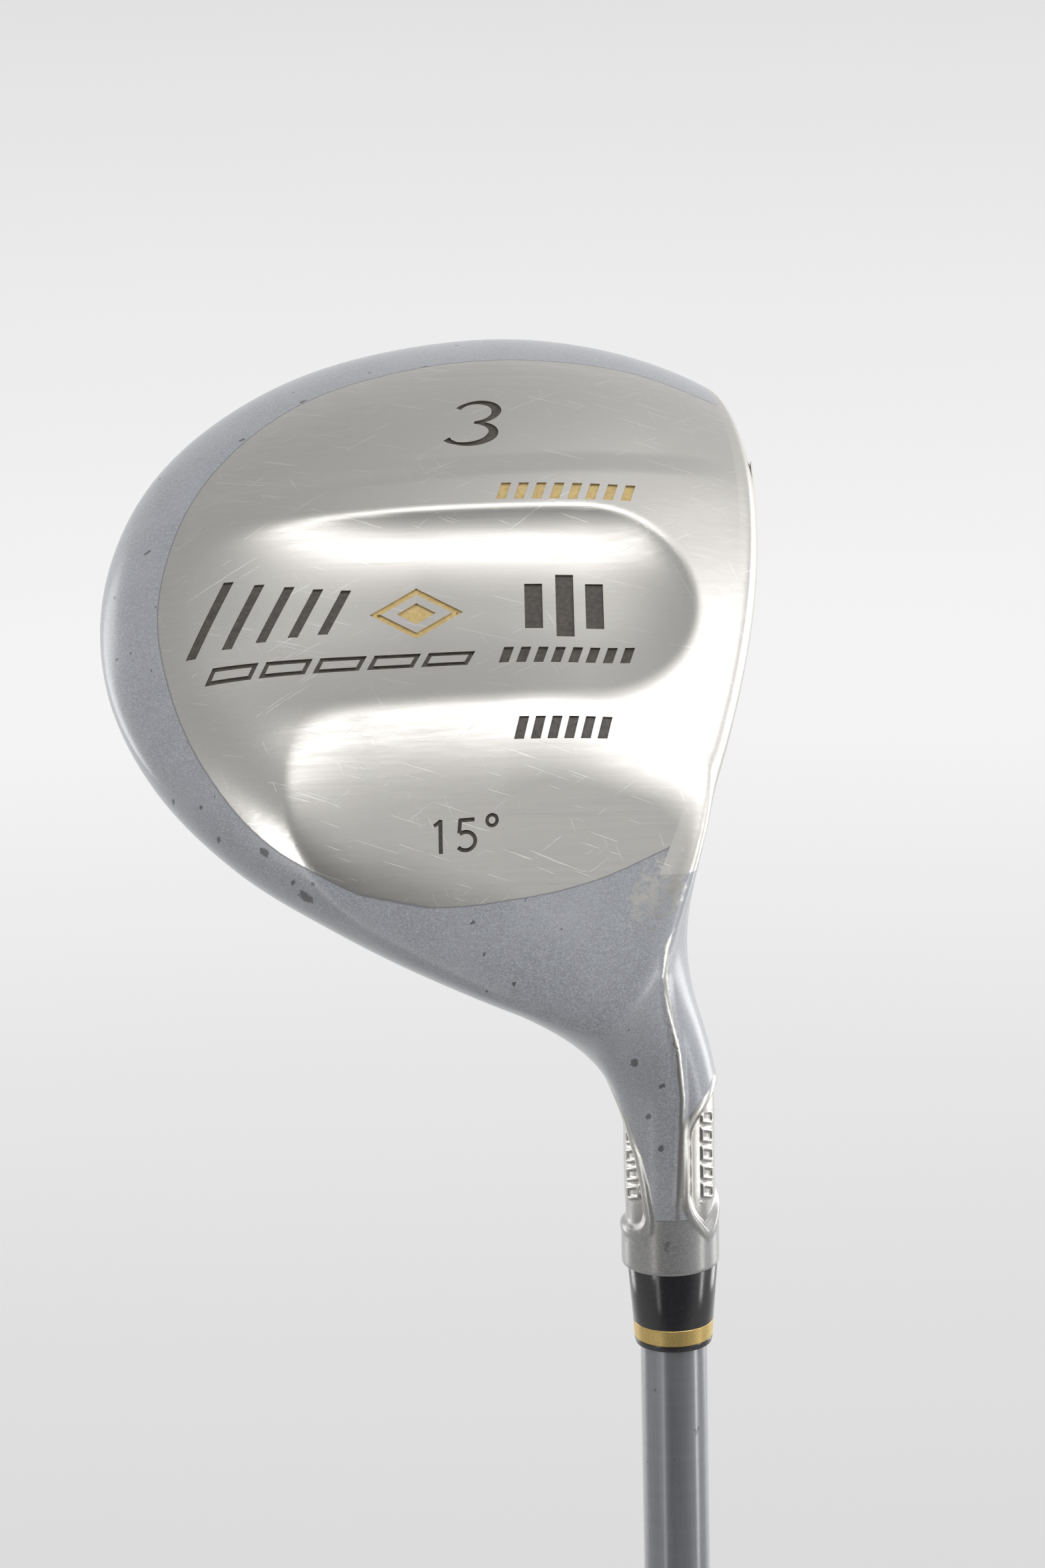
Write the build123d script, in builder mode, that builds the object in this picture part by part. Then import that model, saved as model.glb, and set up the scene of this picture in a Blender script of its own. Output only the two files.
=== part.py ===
"""Fairway wood: a hollow titanium head on an offset neck, a ferrule, a tapered shaft and a rubber grip.

The row frame has its origin at the butt end of the grip, on the shaft axis. +Z runs up the shaft to the
head, the face looks along +X and the sole looks along -Y and up. The head is drawn in a frame of its own,
sole up: x runs from the back to the face, y from the heel to the toe, and z out of the sole. Its origin is
where the shaft axis meets the ground when the club is soled, so the ground is z = 0.
"""

from build123d import *

import os
from math import cos, radians, sin, sqrt, tan

# Club
club_length = 1092.0  # butt end to the point where the shaft axis meets the ground
lie = 57.0
loft_angle = 15.0

# Head body: the widest line seen from below, as (x, y) points, and how it closes above and below
widest_line = [
    (30, 30), (27, 55), (15, 72.5), (2, 82.5), (-14, 86.8), (-30, 85.5), (-46, 79.5),
    (-59, 69), (-67.7, 56), (-71.9, 40), (-71, 24), (-65, 9.5), (-55, -2.6), (-43, -11.5),
    (-30, -19.2), (-15, -26), (-4, -27), (6, -21), (18, -4),
]
body_centre = (-22.0, 30.0)
parting_height = 19.0  # height of the widest line above the ground, at x = 0
parting_slope = 0.085  # it rises towards the face by this much for each mm
crown_rise = 17.5  # crown above the widest line
plan_power, crown_power, sole_power = 2.3, 2.1, 2.0  # how full the body is
levels = (0.35, 0.6, 0.78, 0.9, 0.96, 0.988, 0.998)  # shares of the height at which sections are drawn

# Walls
side_wall, sole_wall, crown_wall, face_wall = 2.4, 4.0, 1.2, 3.0
plan_radius = 48.0  # mean radius of the widest line, which turns the side wall into a scale

# Face: bulge is its curve from heel to toe and roll its curve from crown to sole
face_point = (10.3, 38.0, -18.0)
face_closed = 0.075  # the face turns this far towards the heel
bulge_radius, roll_radius = 180.0, 280.0
face_half_height = 60.0

# Sole channels: (front x, back x, centre y, height of the sole there, width, depth)
long_channel = (12.0, -68.0, 27.5, 0.3, 33.0, 2.3)
heel_channel = (8.0, -54.0, -5.0, -2.0, 21.0, 2.0)
heel_channel_tilt = 20.0

# Hosel and neck: (distance up the shaft from the ground, x of the centre, radius)
neck_sections = (
    (67.0, -0.2, 6.5), (58.0, -0.2, 6.5), (48.0, -0.2, 6.6), (41.0, -1.2, 7.0),
    (35.0, -3.2, 7.6), (28.0, -5.8, 8.0), (20.0, -7.8, 8.1), (9.0, -8.6, 6.8),
)
hosel_top, hosel_chamfer = 67.0, 0.6
bore_floor = 40.0
bore_radius = 4.45
panel_middle, panel_length, panel_width, panel_corner = 52.5, 18.5, 12.0, 4.5
panel_radius = 6.0  # the recess leaves the hosel this big
rib_count, rib_length, rib_width, rib_radius = 7, 1.2, 3.6, 6.3

# Ferrule
collar_length, band_length, lip_length = 7.8, 2.2, 0.8
collar_foot_radius, collar_head_radius, band_radius, lip_radius = 5.75, 5.15, 5.0, 4.9
spigot_radius = 4.65

# Shaft: it is parallel at both ends and tapers between
tip_radius, butt_radius = 4.3, 7.62
tip_bore_radius, butt_bore_radius = 2.3, 6.75
tip_parallel, butt_parallel = 75.0, 200.0
weight_stem_length, weight_head_length, weight_clearance = 26.0, 1.5, 0.05

# Grip
grip_length = 267.0
tape_thickness, tape_margin = 0.25, 4.0
mouth_radius, waist_radius, shoulder_radius = 8.9, 11.4, 12.9
waist_z = 60.0
cap_floor, cap_height, cap_radius, cap_round = 6.0, 9.0, 13.8, 1.5
vent_radius = 1.4

# Markings on the sole: pockets with paint on their floors
mark_depth, paint_depth = 0.5, 0.25
number_mark = (-23.3, 60.3)
number_height, number_stroke = 8.6, 1.0
loft_mark = (-25.6, -5.6)
loft_mark_height, loft_mark_stroke = 4.0, 0.5
gold_row = (-11.5, 46.2, 8, 2.3)  # middle x, middle y, count, pitch
dark_row = (-11.9, 19.6, 8, 2.2)
heel_row = (-12.6, 7.0, 6, 2.1)
row_bar = (1.2, 3.0)  # one bar of a row: along x, along y
post_marks = ((-16.0, 8.0), (-12.0, 11.0), (-8.2, 8.0))  # x and height of each tall bar
post_y, post_width = 28.6, 2.3
slash_marks = ((-57.5, 12.0), (-53.2, 10.4), (-49.1, 9.2), (-45.2, 8.2), (-41.5, 7.6))
slash_y, slash_width, slash_lean = 28.4, 1.3, 22.0
stripe_marks = (-54.6, -47.7, -40.8, -33.9, -27.0)  # middle x of each dash of the stripe
stripe_y, stripe_length, stripe_width, stripe_line = 19.2, 5.9, 2.6, 0.6
lozenge_mark = (-31.0, 27.8)
lozenge_width, lozenge_height, lozenge_line, lozenge_heart = 12.0, 9.0, 1.1, 0.42

# Score lines on the face
score_line_heights = (8.0, 12.5, 17.0, 21.5, 26.0)
score_line_half_lengths = (19.0, 23.0, 25.0, 25.0, 22.0)
score_line_width, score_line_depth, score_line_fill = 0.7, 0.4, 0.25

glue_place, glue_radius = (-48.0, 34.0, -4.0), 7.0

head_frame = Plane(
    origin=(0, 0, club_length),
    x_dir=(1, 0, 0),
    z_dir=(0, -cos(radians(lie)), sin(radians(lie))),
)
shaft_in_head = Plane(
    origin=(0, 0, 0),
    x_dir=(1, 0, 0),
    z_dir=(0, -cos(radians(lie)), -sin(radians(lie))),
)
os.makedirs("parts", exist_ok=True)


def save(piece, name, in_head=False):
    """Labels a finished piece and writes it; a piece drawn in the head's frame moves to the row frame."""
    shape = head_frame.location * piece.part if in_head else piece.part
    shape.label = name
    export_step(shape, f"parts/{name}.step")


# ---- Head body ----


def body_section(share, side, sole_inset, crown_inset, side_inset):
    """One section of the head body: a share of the way from the widest line to the sole or the crown."""
    power = sole_power if side == "sole" else crown_power
    scale = (1 - share**power) ** (1 / plan_power) * (1 - side_inset / plan_radius)
    if side == "sole":
        height = -parting_height + share * (parting_height - sole_inset)
        slope = -parting_slope * (1 - share)
    else:
        height = -parting_height - share * (crown_rise - crown_inset)
        slope = -parting_slope
    cx, cy = body_centre
    stretch = sqrt(1 + slope**2)
    outline = [((cx + scale * (x - cx)) * stretch, cy + scale * (y - cy)) for x, y in widest_line]
    plane = Plane(origin=(0, 0, height), x_dir=(1, 0, slope), z_dir=(-slope, 0, 1))
    with BuildSketch(plane) as section:
        with BuildLine():
            Spline(*outline, periodic=True)
        make_face()
    return section.sketch


def body_solid(sole_inset=0.0, crown_inset=0.0, side_inset=0.0):
    """The head body from sole to crown, before the face cuts it. The insets give the hollow inside."""
    insets = (sole_inset, crown_inset, side_inset)
    sections = [body_section(share, "sole", *insets) for share in reversed(levels)]
    sections += [body_section(share, "crown", *insets) for share in (0.0, *levels)]
    with BuildPart() as body:
        loft(sections=sections)
    return body


def face_barrel(inset):
    """A barrel whose wall is the face, or lies inset below it: bulge around its axis, roll along it."""
    out = Vector(1, -face_closed, -tan(radians(loft_angle))).normalized()
    side = Vector(0, 1, 0) - out * out.Y
    middle = Vector(*face_point) - out * bulge_radius
    plane = Plane(origin=middle, x_dir=out, z_dir=side.normalized())
    wall = bulge_radius - inset
    drop = roll_radius - sqrt(roll_radius**2 - face_half_height**2)
    with BuildPart() as barrel:
        with BuildSketch(plane):
            with BuildLine():
                ThreePointArc(
                    (wall - drop, -face_half_height), (wall, 0), (wall - drop, face_half_height)
                )
                Polyline(
                    (wall - drop, face_half_height),
                    (0, face_half_height),
                    (0, -face_half_height),
                    (wall - drop, -face_half_height),
                )
            make_face()
        revolve(axis=Axis(middle, plane.y_dir))
    return barrel


def channel_cutter(front, back, across, level, width, depth, tilt=0.0):
    """A long spindle that cuts a shallow channel, round at both ends, out of the sole."""
    half = (front - back) / 2
    girth = ((width / 2) ** 2 + depth**2) / (2 * depth)
    rim = (half**2 + depth**2) / (2 * depth)
    end = girth - rim + sqrt(rim**2 - half**2)
    place = Plane(origin=((front + back) / 2, across, level)).rotated((tilt, 0, 0)).offset(girth - depth)
    with BuildPart() as cutter:
        with BuildSketch(Plane.XZ):
            with BuildLine():
                ThreePointArc((-half, end), (0, girth), (half, end))
                Polyline((half, end), (half, 0), (-half, 0), (-half, end))
            make_face()
        revolve(axis=Axis.X)
    return place.location * cutter.part


outside = body_solid()
hollow = body_solid(sole_wall, crown_wall, side_wall)
face_outer = face_barrel(0)
face_inner = face_barrel(face_wall)
parting = Plane(origin=(0, 0, -parting_height), x_dir=(1, 0, -parting_slope), z_dir=(parting_slope, 0, 1))

# The neck blends from the round hosel down and back into the heel, and runs inside the head to the sole
with BuildPart() as neck:
    for distance, shift, radius in neck_sections:
        with BuildSketch(shaft_in_head.offset(distance)):
            with Locations((shift, 0)):
                Circle(radius)
    loft()
    chamfer(neck.faces().sort_by(Axis.Z)[0].edges(), hosel_chamfer)

with BuildPart() as cavity:
    add(hollow)
    add(face_inner, mode=Mode.INTERSECT)
    add(neck, mode=Mode.SUBTRACT)

with BuildPart() as shell:
    add(outside)
    add(face_inner, mode=Mode.INTERSECT)
    add(cavity, mode=Mode.SUBTRACT)

# ---- Hosel panels ----

with BuildPart() as panel_sleeve:
    with BuildSketch(shaft_in_head.offset(panel_middle - panel_length)):
        Circle(2 * panel_radius)
        Circle(panel_radius, mode=Mode.SUBTRACT)
    extrude(amount=2 * panel_length)

with BuildPart() as neck_panels:
    for sign in (1, -1):
        side_plane = Plane(
            origin=shaft_in_head.offset(panel_middle).origin, x_dir=shaft_in_head.z_dir, z_dir=(sign, 0, 0)
        )
        with BuildSketch(side_plane.offset(1)):
            RectangleRounded(panel_length, panel_width, panel_corner)
        extrude(amount=2 * panel_radius)
    add(panel_sleeve, mode=Mode.INTERSECT)

with BuildPart() as neck_ribs:
    for sign in (1, -1):
        side_plane = Plane(
            origin=shaft_in_head.offset(panel_middle).origin, x_dir=shaft_in_head.z_dir, z_dir=(sign, 0, 0)
        )
        with BuildSketch(side_plane.offset(bore_radius + 0.5)):
            with GridLocations((panel_length - panel_corner) / rib_count, 1, rib_count, 1):
                Rectangle(rib_length, rib_width)
        extrude(amount=rib_radius - bore_radius - 0.5)

# ---- Casting, crown and face ----

with BuildPart() as plain_casting:
    add(shell)
    split(bisect_by=parting, keep=Keep.TOP)
    add(neck)
    add(neck_panels, mode=Mode.SUBTRACT)
    add(neck_ribs)
    add(channel_cutter(*long_channel), mode=Mode.SUBTRACT)
    add(channel_cutter(*heel_channel, tilt=heel_channel_tilt), mode=Mode.SUBTRACT)
    with BuildSketch(shaft_in_head.offset(bore_floor)):
        Circle(bore_radius)
    extrude(amount=hosel_top, mode=Mode.SUBTRACT)

with BuildPart() as crown_shell:
    add(shell)
    split(bisect_by=parting, keep=Keep.BOTTOM)
    add(neck, mode=Mode.SUBTRACT)

with BuildPart() as score_lines:
    for height, half_length in zip(score_line_heights, score_line_half_lengths):
        with BuildSketch(Plane.XY.offset(-height - score_line_width / 2)):
            with Locations((0, face_point[1])):
                Rectangle(2 * face_half_height, 2 * half_length)
        extrude(amount=score_line_width)

with BuildPart() as score_line_paint:
    add(score_lines)
    add(face_barrel(score_line_fill), mode=Mode.INTERSECT)
    add(face_barrel(score_line_depth), mode=Mode.SUBTRACT)

with BuildPart() as score_line_cut:
    add(score_lines)
    add(face_barrel(score_line_depth), mode=Mode.SUBTRACT)

with BuildPart() as face_plate:
    add(outside)
    add(face_outer, mode=Mode.INTERSECT)
    add(face_inner, mode=Mode.SUBTRACT)
    add(neck, mode=Mode.SUBTRACT)
    add(score_line_cut, mode=Mode.SUBTRACT)

with BuildPart() as rattle_glue:
    add(cavity)
    with Locations(glue_place):
        Sphere(glue_radius, mode=Mode.INTERSECT)


# ---- Markings ----


def sole_plane(x, y):
    """The plane that touches the sole at (x, y), with its normal outwards."""
    hits = plain_casting.part.find_intersection_points(Axis((x, y, 50), (0, 0, -1)))
    point, normal = max(hits, key=lambda hit: hit[0].Z)
    normal = normal if normal.Z > 0 else -normal
    return Plane(origin=point, x_dir=(normal.Z, 0, -normal.X), z_dir=normal)


def strokes(width, *paths):
    """A flat figure drawn with a pen of one width."""
    with BuildSketch() as figure:
        for path in paths:
            trace(lines=path, line_width=width)
    return figure.sketch


def figure_three(height):
    """The pen strokes of a 3: two bowls."""
    r = height / 4
    with BuildLine() as upper:
        CenterArc((0, r), r, -90, 240)
    with BuildLine() as lower:
        CenterArc((0, -r), r, 90, -240)
    return upper.line, lower.line


def figure_five(height):
    """The pen strokes of a 5: a flag, a back and a bowl."""
    w = height * 0.26
    with BuildLine() as flag:
        Line((w, height * 0.45), (-w, height * 0.45))
    with BuildLine() as back:
        Line((-w, height / 2), (-w, height * 0.04))
    with BuildLine() as bowl:
        ThreePointArc((-w, height * 0.08), (w * 1.2, -height * 0.18), (-w * 1.1, -height * 0.42))
    return flag.line, back.line, bowl.line


def figure_one(height):
    """The pen strokes of a 1."""
    with BuildLine() as flag:
        Line((-height * 0.16, height * 0.36), (0, height * 0.48))
    with BuildLine() as stem:
        Line((0, height / 2), (0, -height / 2))
    return flag.line, stem.line


def bar(width, height, lean=0.0):
    """A bar whose top leans to the right by some degrees."""
    shift = height / 2 * tan(radians(lean))
    with BuildSketch() as figure:
        with BuildLine():
            Polyline(
                (-width / 2 - shift, -height / 2),
                (width / 2 - shift, -height / 2),
                (width / 2 + shift, height / 2),
                (-width / 2 + shift, height / 2),
                close=True,
            )
        make_face()
    return figure.sketch


def lozenge(scale):
    """A four-cornered lozenge, at some share of its full size."""
    w = lozenge_width / 2 * scale
    h = lozenge_height / 2 * scale
    with BuildSketch() as figure:
        with BuildLine():
            Polyline((-w, 0), (0, -h), (w, 0), (0, h), close=True)
        make_face()
    return figure.sketch


def row_of_bars(middle, across, count, pitch):
    """Places for one row of small bars, each with its figure."""
    return [(middle + (i - (count - 1) / 2) * pitch, across, bar(*row_bar)) for i in range(count)]


with BuildSketch() as degree_ring:
    Circle(loft_mark_height * 0.18)
    Circle(loft_mark_height * 0.18 - loft_mark_stroke * 0.8, mode=Mode.SUBTRACT)

with BuildSketch() as lozenge_ring:
    add(lozenge(1))
    add(lozenge(1 - 2 * lozenge_line / lozenge_height), mode=Mode.SUBTRACT)
    add(lozenge(lozenge_heart))

with BuildSketch() as stripe_dash:
    add(bar(stripe_length, stripe_width, slash_lean))
    add(
        bar(stripe_length - 2 * stripe_line, stripe_width - 2 * stripe_line, slash_lean),
        mode=Mode.SUBTRACT,
    )

loft_x, loft_y = loft_mark
markings = {
    "number_paint": [(*number_mark, strokes(number_stroke, *figure_three(number_height)))],
    "loft_mark_paint": [
        (loft_x - 2.6, loft_y, strokes(loft_mark_stroke, *figure_one(loft_mark_height))),
        (loft_x + 0.4, loft_y, strokes(loft_mark_stroke, *figure_five(loft_mark_height))),
        (loft_x + 3.6, loft_y + 1.6, degree_ring.sketch),
    ],
    "emblem_dark_paint": [
        (x, slash_y, bar(slash_width, height, slash_lean)) for x, height in slash_marks
    ]
    + [(x, stripe_y, stripe_dash.sketch) for x in stripe_marks],
    "emblem_gold_paint": [(*lozenge_mark, lozenge_ring.sketch)],
    "bar_mark_paint": [(x, post_y, bar(post_width, height)) for x, height in post_marks],
    "dark_row_paint": row_of_bars(*dark_row) + row_of_bars(*heel_row),
    "gold_row_paint": row_of_bars(*gold_row),
}


def marking(places, depth):
    """Prisms under every figure of a marking, from the pocket floors up by some depth."""
    with BuildPart() as prisms:
        for x, y, figure in places:
            with BuildSketch(sole_plane(x, y).offset(-mark_depth)):
                add(figure)
            extrude(amount=depth)
    return prisms


with BuildPart() as head_casting:
    add(plain_casting)
    for places in markings.values():
        add(marking(places, 4 * mark_depth), mode=Mode.SUBTRACT)


# ---- Turned pieces on the shaft axis ----


def turned(*profile):
    """A piece turned about the shaft axis from an (r, z) outline."""
    with BuildPart() as piece:
        with BuildSketch(Plane.XZ):
            with BuildLine():
                Polyline(*profile, close=True)
            make_face()
        revolve(axis=Axis.Z)
    return piece


tip_z = club_length - bore_floor - weight_head_length
hosel_z = club_length - hosel_top
taper_z = tip_z - tip_parallel
collar_z = hosel_z - collar_length
band_z = collar_z - band_length
lip_z = band_z - lip_length
tape_z = grip_length - tape_margin


def shaft_radius(z):
    """Outside radius of the shaft at z, between the butt and the start of the parallel tip."""
    share = max((z - butt_parallel) / (taper_z - butt_parallel), 0)
    return butt_radius + (tip_radius - butt_radius) * share


shaft = turned(
    (butt_bore_radius, cap_floor),
    (butt_radius, cap_floor),
    (butt_radius, butt_parallel),
    (tip_radius, taper_z),
    (tip_radius, tip_z),
    (tip_bore_radius, tip_z),
    (tip_bore_radius, taper_z),
    (butt_bore_radius, butt_parallel),
)

weight_radius = tip_bore_radius - weight_clearance
tip_weight = turned(
    (0, tip_z - weight_stem_length),
    (weight_radius, tip_z - weight_stem_length),
    (weight_radius, tip_z),
    (tip_radius, tip_z),
    (tip_radius, tip_z + weight_head_length),
    (0, tip_z + weight_head_length),
)

shaft_epoxy = turned(
    (tip_radius, hosel_z),
    (bore_radius, hosel_z),
    (bore_radius, tip_z + weight_head_length),
    (tip_radius, tip_z + weight_head_length),
)

ferrule_collar = turned(
    (tip_radius, hosel_z),
    (collar_foot_radius, hosel_z),
    (collar_head_radius, collar_z),
    (spigot_radius, collar_z),
    (spigot_radius, lip_z),
    (tip_radius, lip_z),
)

ferrule_gold_band = turned(
    (spigot_radius, collar_z), (collar_head_radius, collar_z), (band_radius, band_z), (spigot_radius, band_z)
)

ferrule_lip_ring = turned(
    (spigot_radius, band_z), (band_radius, band_z), (lip_radius, lip_z), (spigot_radius, lip_z)
)

tape_inner = shaft_radius(tape_z)
grip_tape = turned(
    (butt_radius, cap_floor),
    (butt_radius + tape_thickness, cap_floor),
    (butt_radius + tape_thickness, butt_parallel),
    (tape_inner + tape_thickness, tape_z),
    (tape_inner, tape_z),
    (butt_radius, butt_parallel),
)

mouth_inner = shaft_radius(grip_length) + tape_thickness
grip_sleeve = turned(
    (butt_radius + tape_thickness, cap_floor),
    (shoulder_radius, cap_floor),
    (shoulder_radius, cap_height),
    (waist_radius, waist_z),
    (mouth_radius, grip_length - 1),
    (mouth_radius - 0.6, grip_length),
    (mouth_inner, grip_length),
    (butt_radius + tape_thickness, butt_parallel),
)

with BuildPart() as grip_cap:
    with BuildSketch(Plane.XZ):
        with BuildLine():
            Polyline(
                (cap_radius, cap_round),
                (cap_radius, cap_height),
                (shoulder_radius, cap_height),
                (shoulder_radius, cap_floor),
                (vent_radius, cap_floor),
                (vent_radius, 0),
                (cap_radius - cap_round, 0),
            )
            RadiusArc((cap_radius - cap_round, 0), (cap_radius, cap_round), -cap_round)
        make_face()
    revolve(axis=Axis.Z)

# ---- Export ----

save(head_casting, "head_casting", in_head=True)
save(crown_shell, "crown_shell", in_head=True)
save(face_plate, "face_plate", in_head=True)
save(score_line_paint, "score_line_paint", in_head=True)
save(rattle_glue, "rattle_glue", in_head=True)
for name, places in markings.items():
    save(marking(places, paint_depth), name, in_head=True)
save(shaft, "shaft")
save(tip_weight, "tip_weight")
save(shaft_epoxy, "shaft_epoxy")
save(ferrule_collar, "ferrule_collar")
save(ferrule_gold_band, "ferrule_gold_band")
save(ferrule_lip_ring, "ferrule_lip_ring")
save(grip_tape, "grip_tape")
save(grip_sleeve, "grip_sleeve")
save(grip_cap, "grip_cap")
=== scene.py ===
"""The fairway wood's looks: head, ferrule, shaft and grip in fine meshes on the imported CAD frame."""
from math import cos, pi, radians, sin, tan

import bmesh
import bpy
import numpy as np
from mathutils import Matrix, Vector


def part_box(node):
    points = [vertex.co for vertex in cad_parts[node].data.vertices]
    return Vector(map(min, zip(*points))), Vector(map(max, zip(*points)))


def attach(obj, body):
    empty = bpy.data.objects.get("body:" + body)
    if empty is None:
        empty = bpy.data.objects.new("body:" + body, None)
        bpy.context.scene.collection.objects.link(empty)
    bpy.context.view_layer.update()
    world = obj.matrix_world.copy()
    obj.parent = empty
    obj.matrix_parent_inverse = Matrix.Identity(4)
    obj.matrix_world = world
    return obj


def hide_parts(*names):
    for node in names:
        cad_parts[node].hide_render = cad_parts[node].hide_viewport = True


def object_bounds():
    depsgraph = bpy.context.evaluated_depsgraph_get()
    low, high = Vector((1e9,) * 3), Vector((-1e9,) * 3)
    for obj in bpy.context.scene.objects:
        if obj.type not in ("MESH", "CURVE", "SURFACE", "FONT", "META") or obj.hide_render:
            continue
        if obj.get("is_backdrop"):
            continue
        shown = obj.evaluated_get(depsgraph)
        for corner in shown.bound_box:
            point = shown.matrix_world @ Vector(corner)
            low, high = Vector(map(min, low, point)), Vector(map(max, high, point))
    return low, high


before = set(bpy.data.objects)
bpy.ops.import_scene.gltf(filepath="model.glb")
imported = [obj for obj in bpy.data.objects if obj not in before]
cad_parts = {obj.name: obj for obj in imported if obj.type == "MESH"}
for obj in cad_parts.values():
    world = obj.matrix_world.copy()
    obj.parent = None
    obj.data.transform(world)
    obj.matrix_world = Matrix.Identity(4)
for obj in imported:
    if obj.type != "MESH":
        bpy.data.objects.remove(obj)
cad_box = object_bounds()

MM = 0.001

# ---- The head's own frame ----
# Head points are (f, t, u) in mm: f towards the face, t towards the toe, u up from the ground when the club
# is soled. The origin is where the shaft axis meets the ground. The row frame's +Z runs up the shaft.

LIE = radians(57.0)
GROUND_Z = 1092.0
HOSEL_TOP = GROUND_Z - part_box("head_casting")[0].z / MM


def z_of(h):
    """Row z of a point h mm above the ground, along the shaft."""
    return GROUND_Z - h


def to_row(p):
    """Head points in mm to row points in mm."""
    f, t, u = p[..., 0], p[..., 1], p[..., 2]
    return np.stack([f, t * sin(LIE) + u * cos(LIE), GROUND_Z + t * cos(LIE) - u * sin(LIE)], -1)


def to_head(q):
    """Row points in mm to head points in mm."""
    y, z = q[..., 1], q[..., 2] - GROUND_Z
    return np.stack([q[..., 0], y * sin(LIE) + z * cos(LIE), y * cos(LIE) - z * sin(LIE)], -1)


# ---- The head as a field: negative inside, in mm ----

WIDEST_LINE = [
    (30, 30), (27, 55), (15, 72.5), (2, 82.5), (-14, 86.8), (-30, 85.5), (-46, 79.5),
    (-59, 69), (-67.7, 56), (-71.9, 40), (-71, 24), (-65, 9.5), (-55, -2.6), (-43, -11.5),
    (-30, -19.2), (-15, -26), (-4, -27), (6, -21), (18, -4),
]
BODY_CENTRE = np.array([-22.0, 30.0])
PARTING_HEIGHT, PARTING_SLOPE, CROWN_RISE = 19.0, 0.085, 17.5
LOFT = radians(15.0)
FACE_POINT = (10.3, 38.0, 18.0)
BULGE, ROLL, FACE_CLOSED = 180.0, 280.0, 0.075


def ramp(x, a, b):
    """0 below a, 1 above b and smooth between."""
    s = np.clip((x - a) / (b - a), 0, 1)
    return s * s * (3 - 2 * s)


def soft_max(a, b, k):
    """The larger of two fields, with the corner between them rounded over k."""
    h = np.clip(0.5 + 0.5 * (a - b) / k, 0, 1)
    return b * (1 - h) + a * h + k * h * (1 - h)


def soft_min(a, b, k):
    """The smaller of two fields, with the corner between them filled over k."""
    return -soft_max(-a, -b, k)


def outline_radius():
    """Angles and radii of the widest line about the body's centre, as a smooth closed curve."""
    ring = np.array(WIDEST_LINE, float) - BODY_CENTRE
    dense = []
    for i in range(len(ring)):
        p0, p1, p2, p3 = (ring[(i + k) % len(ring)] for k in (-1, 0, 1, 2))
        for s in np.linspace(0, 1, 12, endpoint=False):
            dense.append(
                p1
                + 0.5 * (p2 - p0) * s
                + (p0 - 2.5 * p1 + 2 * p2 - 0.5 * p3) * s**2
                + 0.5 * (3 * p1 - p0 - 3 * p2 + p3) * s**3
            )
    dense = np.array(dense)
    return np.unwrap(np.arctan2(dense[:, 1], dense[:, 0])), np.hypot(dense[:, 0], dense[:, 1])


ANGLES, RADII = outline_radius()
ANGLES_CLOSED, RADII_CLOSED = np.append(ANGLES - ANGLES[0], 2 * pi), np.append(RADII, RADII[0])


def reach_of(f, t):
    """How far out (f, t) is from the body's centre: 1 on the widest line."""
    df, dt = f - BODY_CENTRE[0], t - BODY_CENTRE[1]
    turn = np.mod(np.arctan2(dt, df) - ANGLES[0], 2 * pi)
    return np.hypot(df, dt) / np.interp(turn, ANGLES_CLOSED, RADII_CLOSED)


def long_channel(f, t):
    """Depth of the scoop along the sole: steep at its toe side, gentle at its heel side, round in front."""
    across = (t - 27.6 - 0.02 * (f + 20)) / 16.0
    along = np.maximum(f + 9.5, 0) / 14.5
    reach = np.hypot(across, along)
    depth = 3.1 * ramp(f, -68, -30)
    scoop = depth * (1 - reach**2.6) * (1 + 0.42 * np.clip(across, -1, 1))
    return soft_max(scoop, 0.0, 0.4)


def sole_relief(f, t):
    """How far the sole's scoop and toe flute are sunk at (f, t)."""
    toe = 0.5 * ramp(t - 0.06 * (f + 28), 48.5, 53.5) * ramp(f, -66, -40) * (1 - ramp(f, -2, 14))
    return long_channel(f, t) + toe


def heel_cut(f, t, u):
    """Positive in the dish between the sole's ridge and the heel: a flat floor and a sloped wall behind."""
    slope_angle = radians(25.0)
    level = 2.1 + 0.09 * np.maximum(-20.0 - f, 0)
    floor = (level + tan(slope_angle) * (5.0 - t) - u) * cos(slope_angle)
    back = floor * cos(radians(27)) - (-43.0 - 0.16 * (t + 4) - f) * sin(radians(27))
    return soft_min(floor, back, 3.0)


def body_field(f, t, u):
    reach = reach_of(f, t)
    widest = PARTING_HEIGHT + PARTING_SLOPE * f
    u = u - sole_relief(f, t) * ramp(widest - u, 0.5, 4.5)
    above = np.maximum(u - widest, 0) / CROWN_RISE
    below = np.maximum(widest - u, 0) / widest
    return 18 * ((reach**2.3 + above**2.1 + below**2.0) ** (1 / 2.2) - 1)


def face_field(f, t, u):
    pf, pt, pu = FACE_POINT
    front = pf + FACE_CLOSED * (t - pt) - tan(LOFT) * (u - pu)
    front = front - (t - pt) ** 2 / (2 * BULGE) - (u - pu) ** 2 / (2 * ROLL)
    return (f - front) * cos(LOFT)


RIDGE_H = (15, 18.3, 22.4, 26, 31, 37, 43, 51, 59)
RIDGE_X = (3.0, 1.6, -0.2, -0.6, -0.1, 1.0, 1.4, 1.0, 0.6)


def shaft_place(f, t, u):
    """x, y and height along the shaft axis of a head point."""
    q = to_row(np.stack([f, t, u], -1))
    return q[..., 0], q[..., 1], GROUND_Z - q[..., 2]


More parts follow.
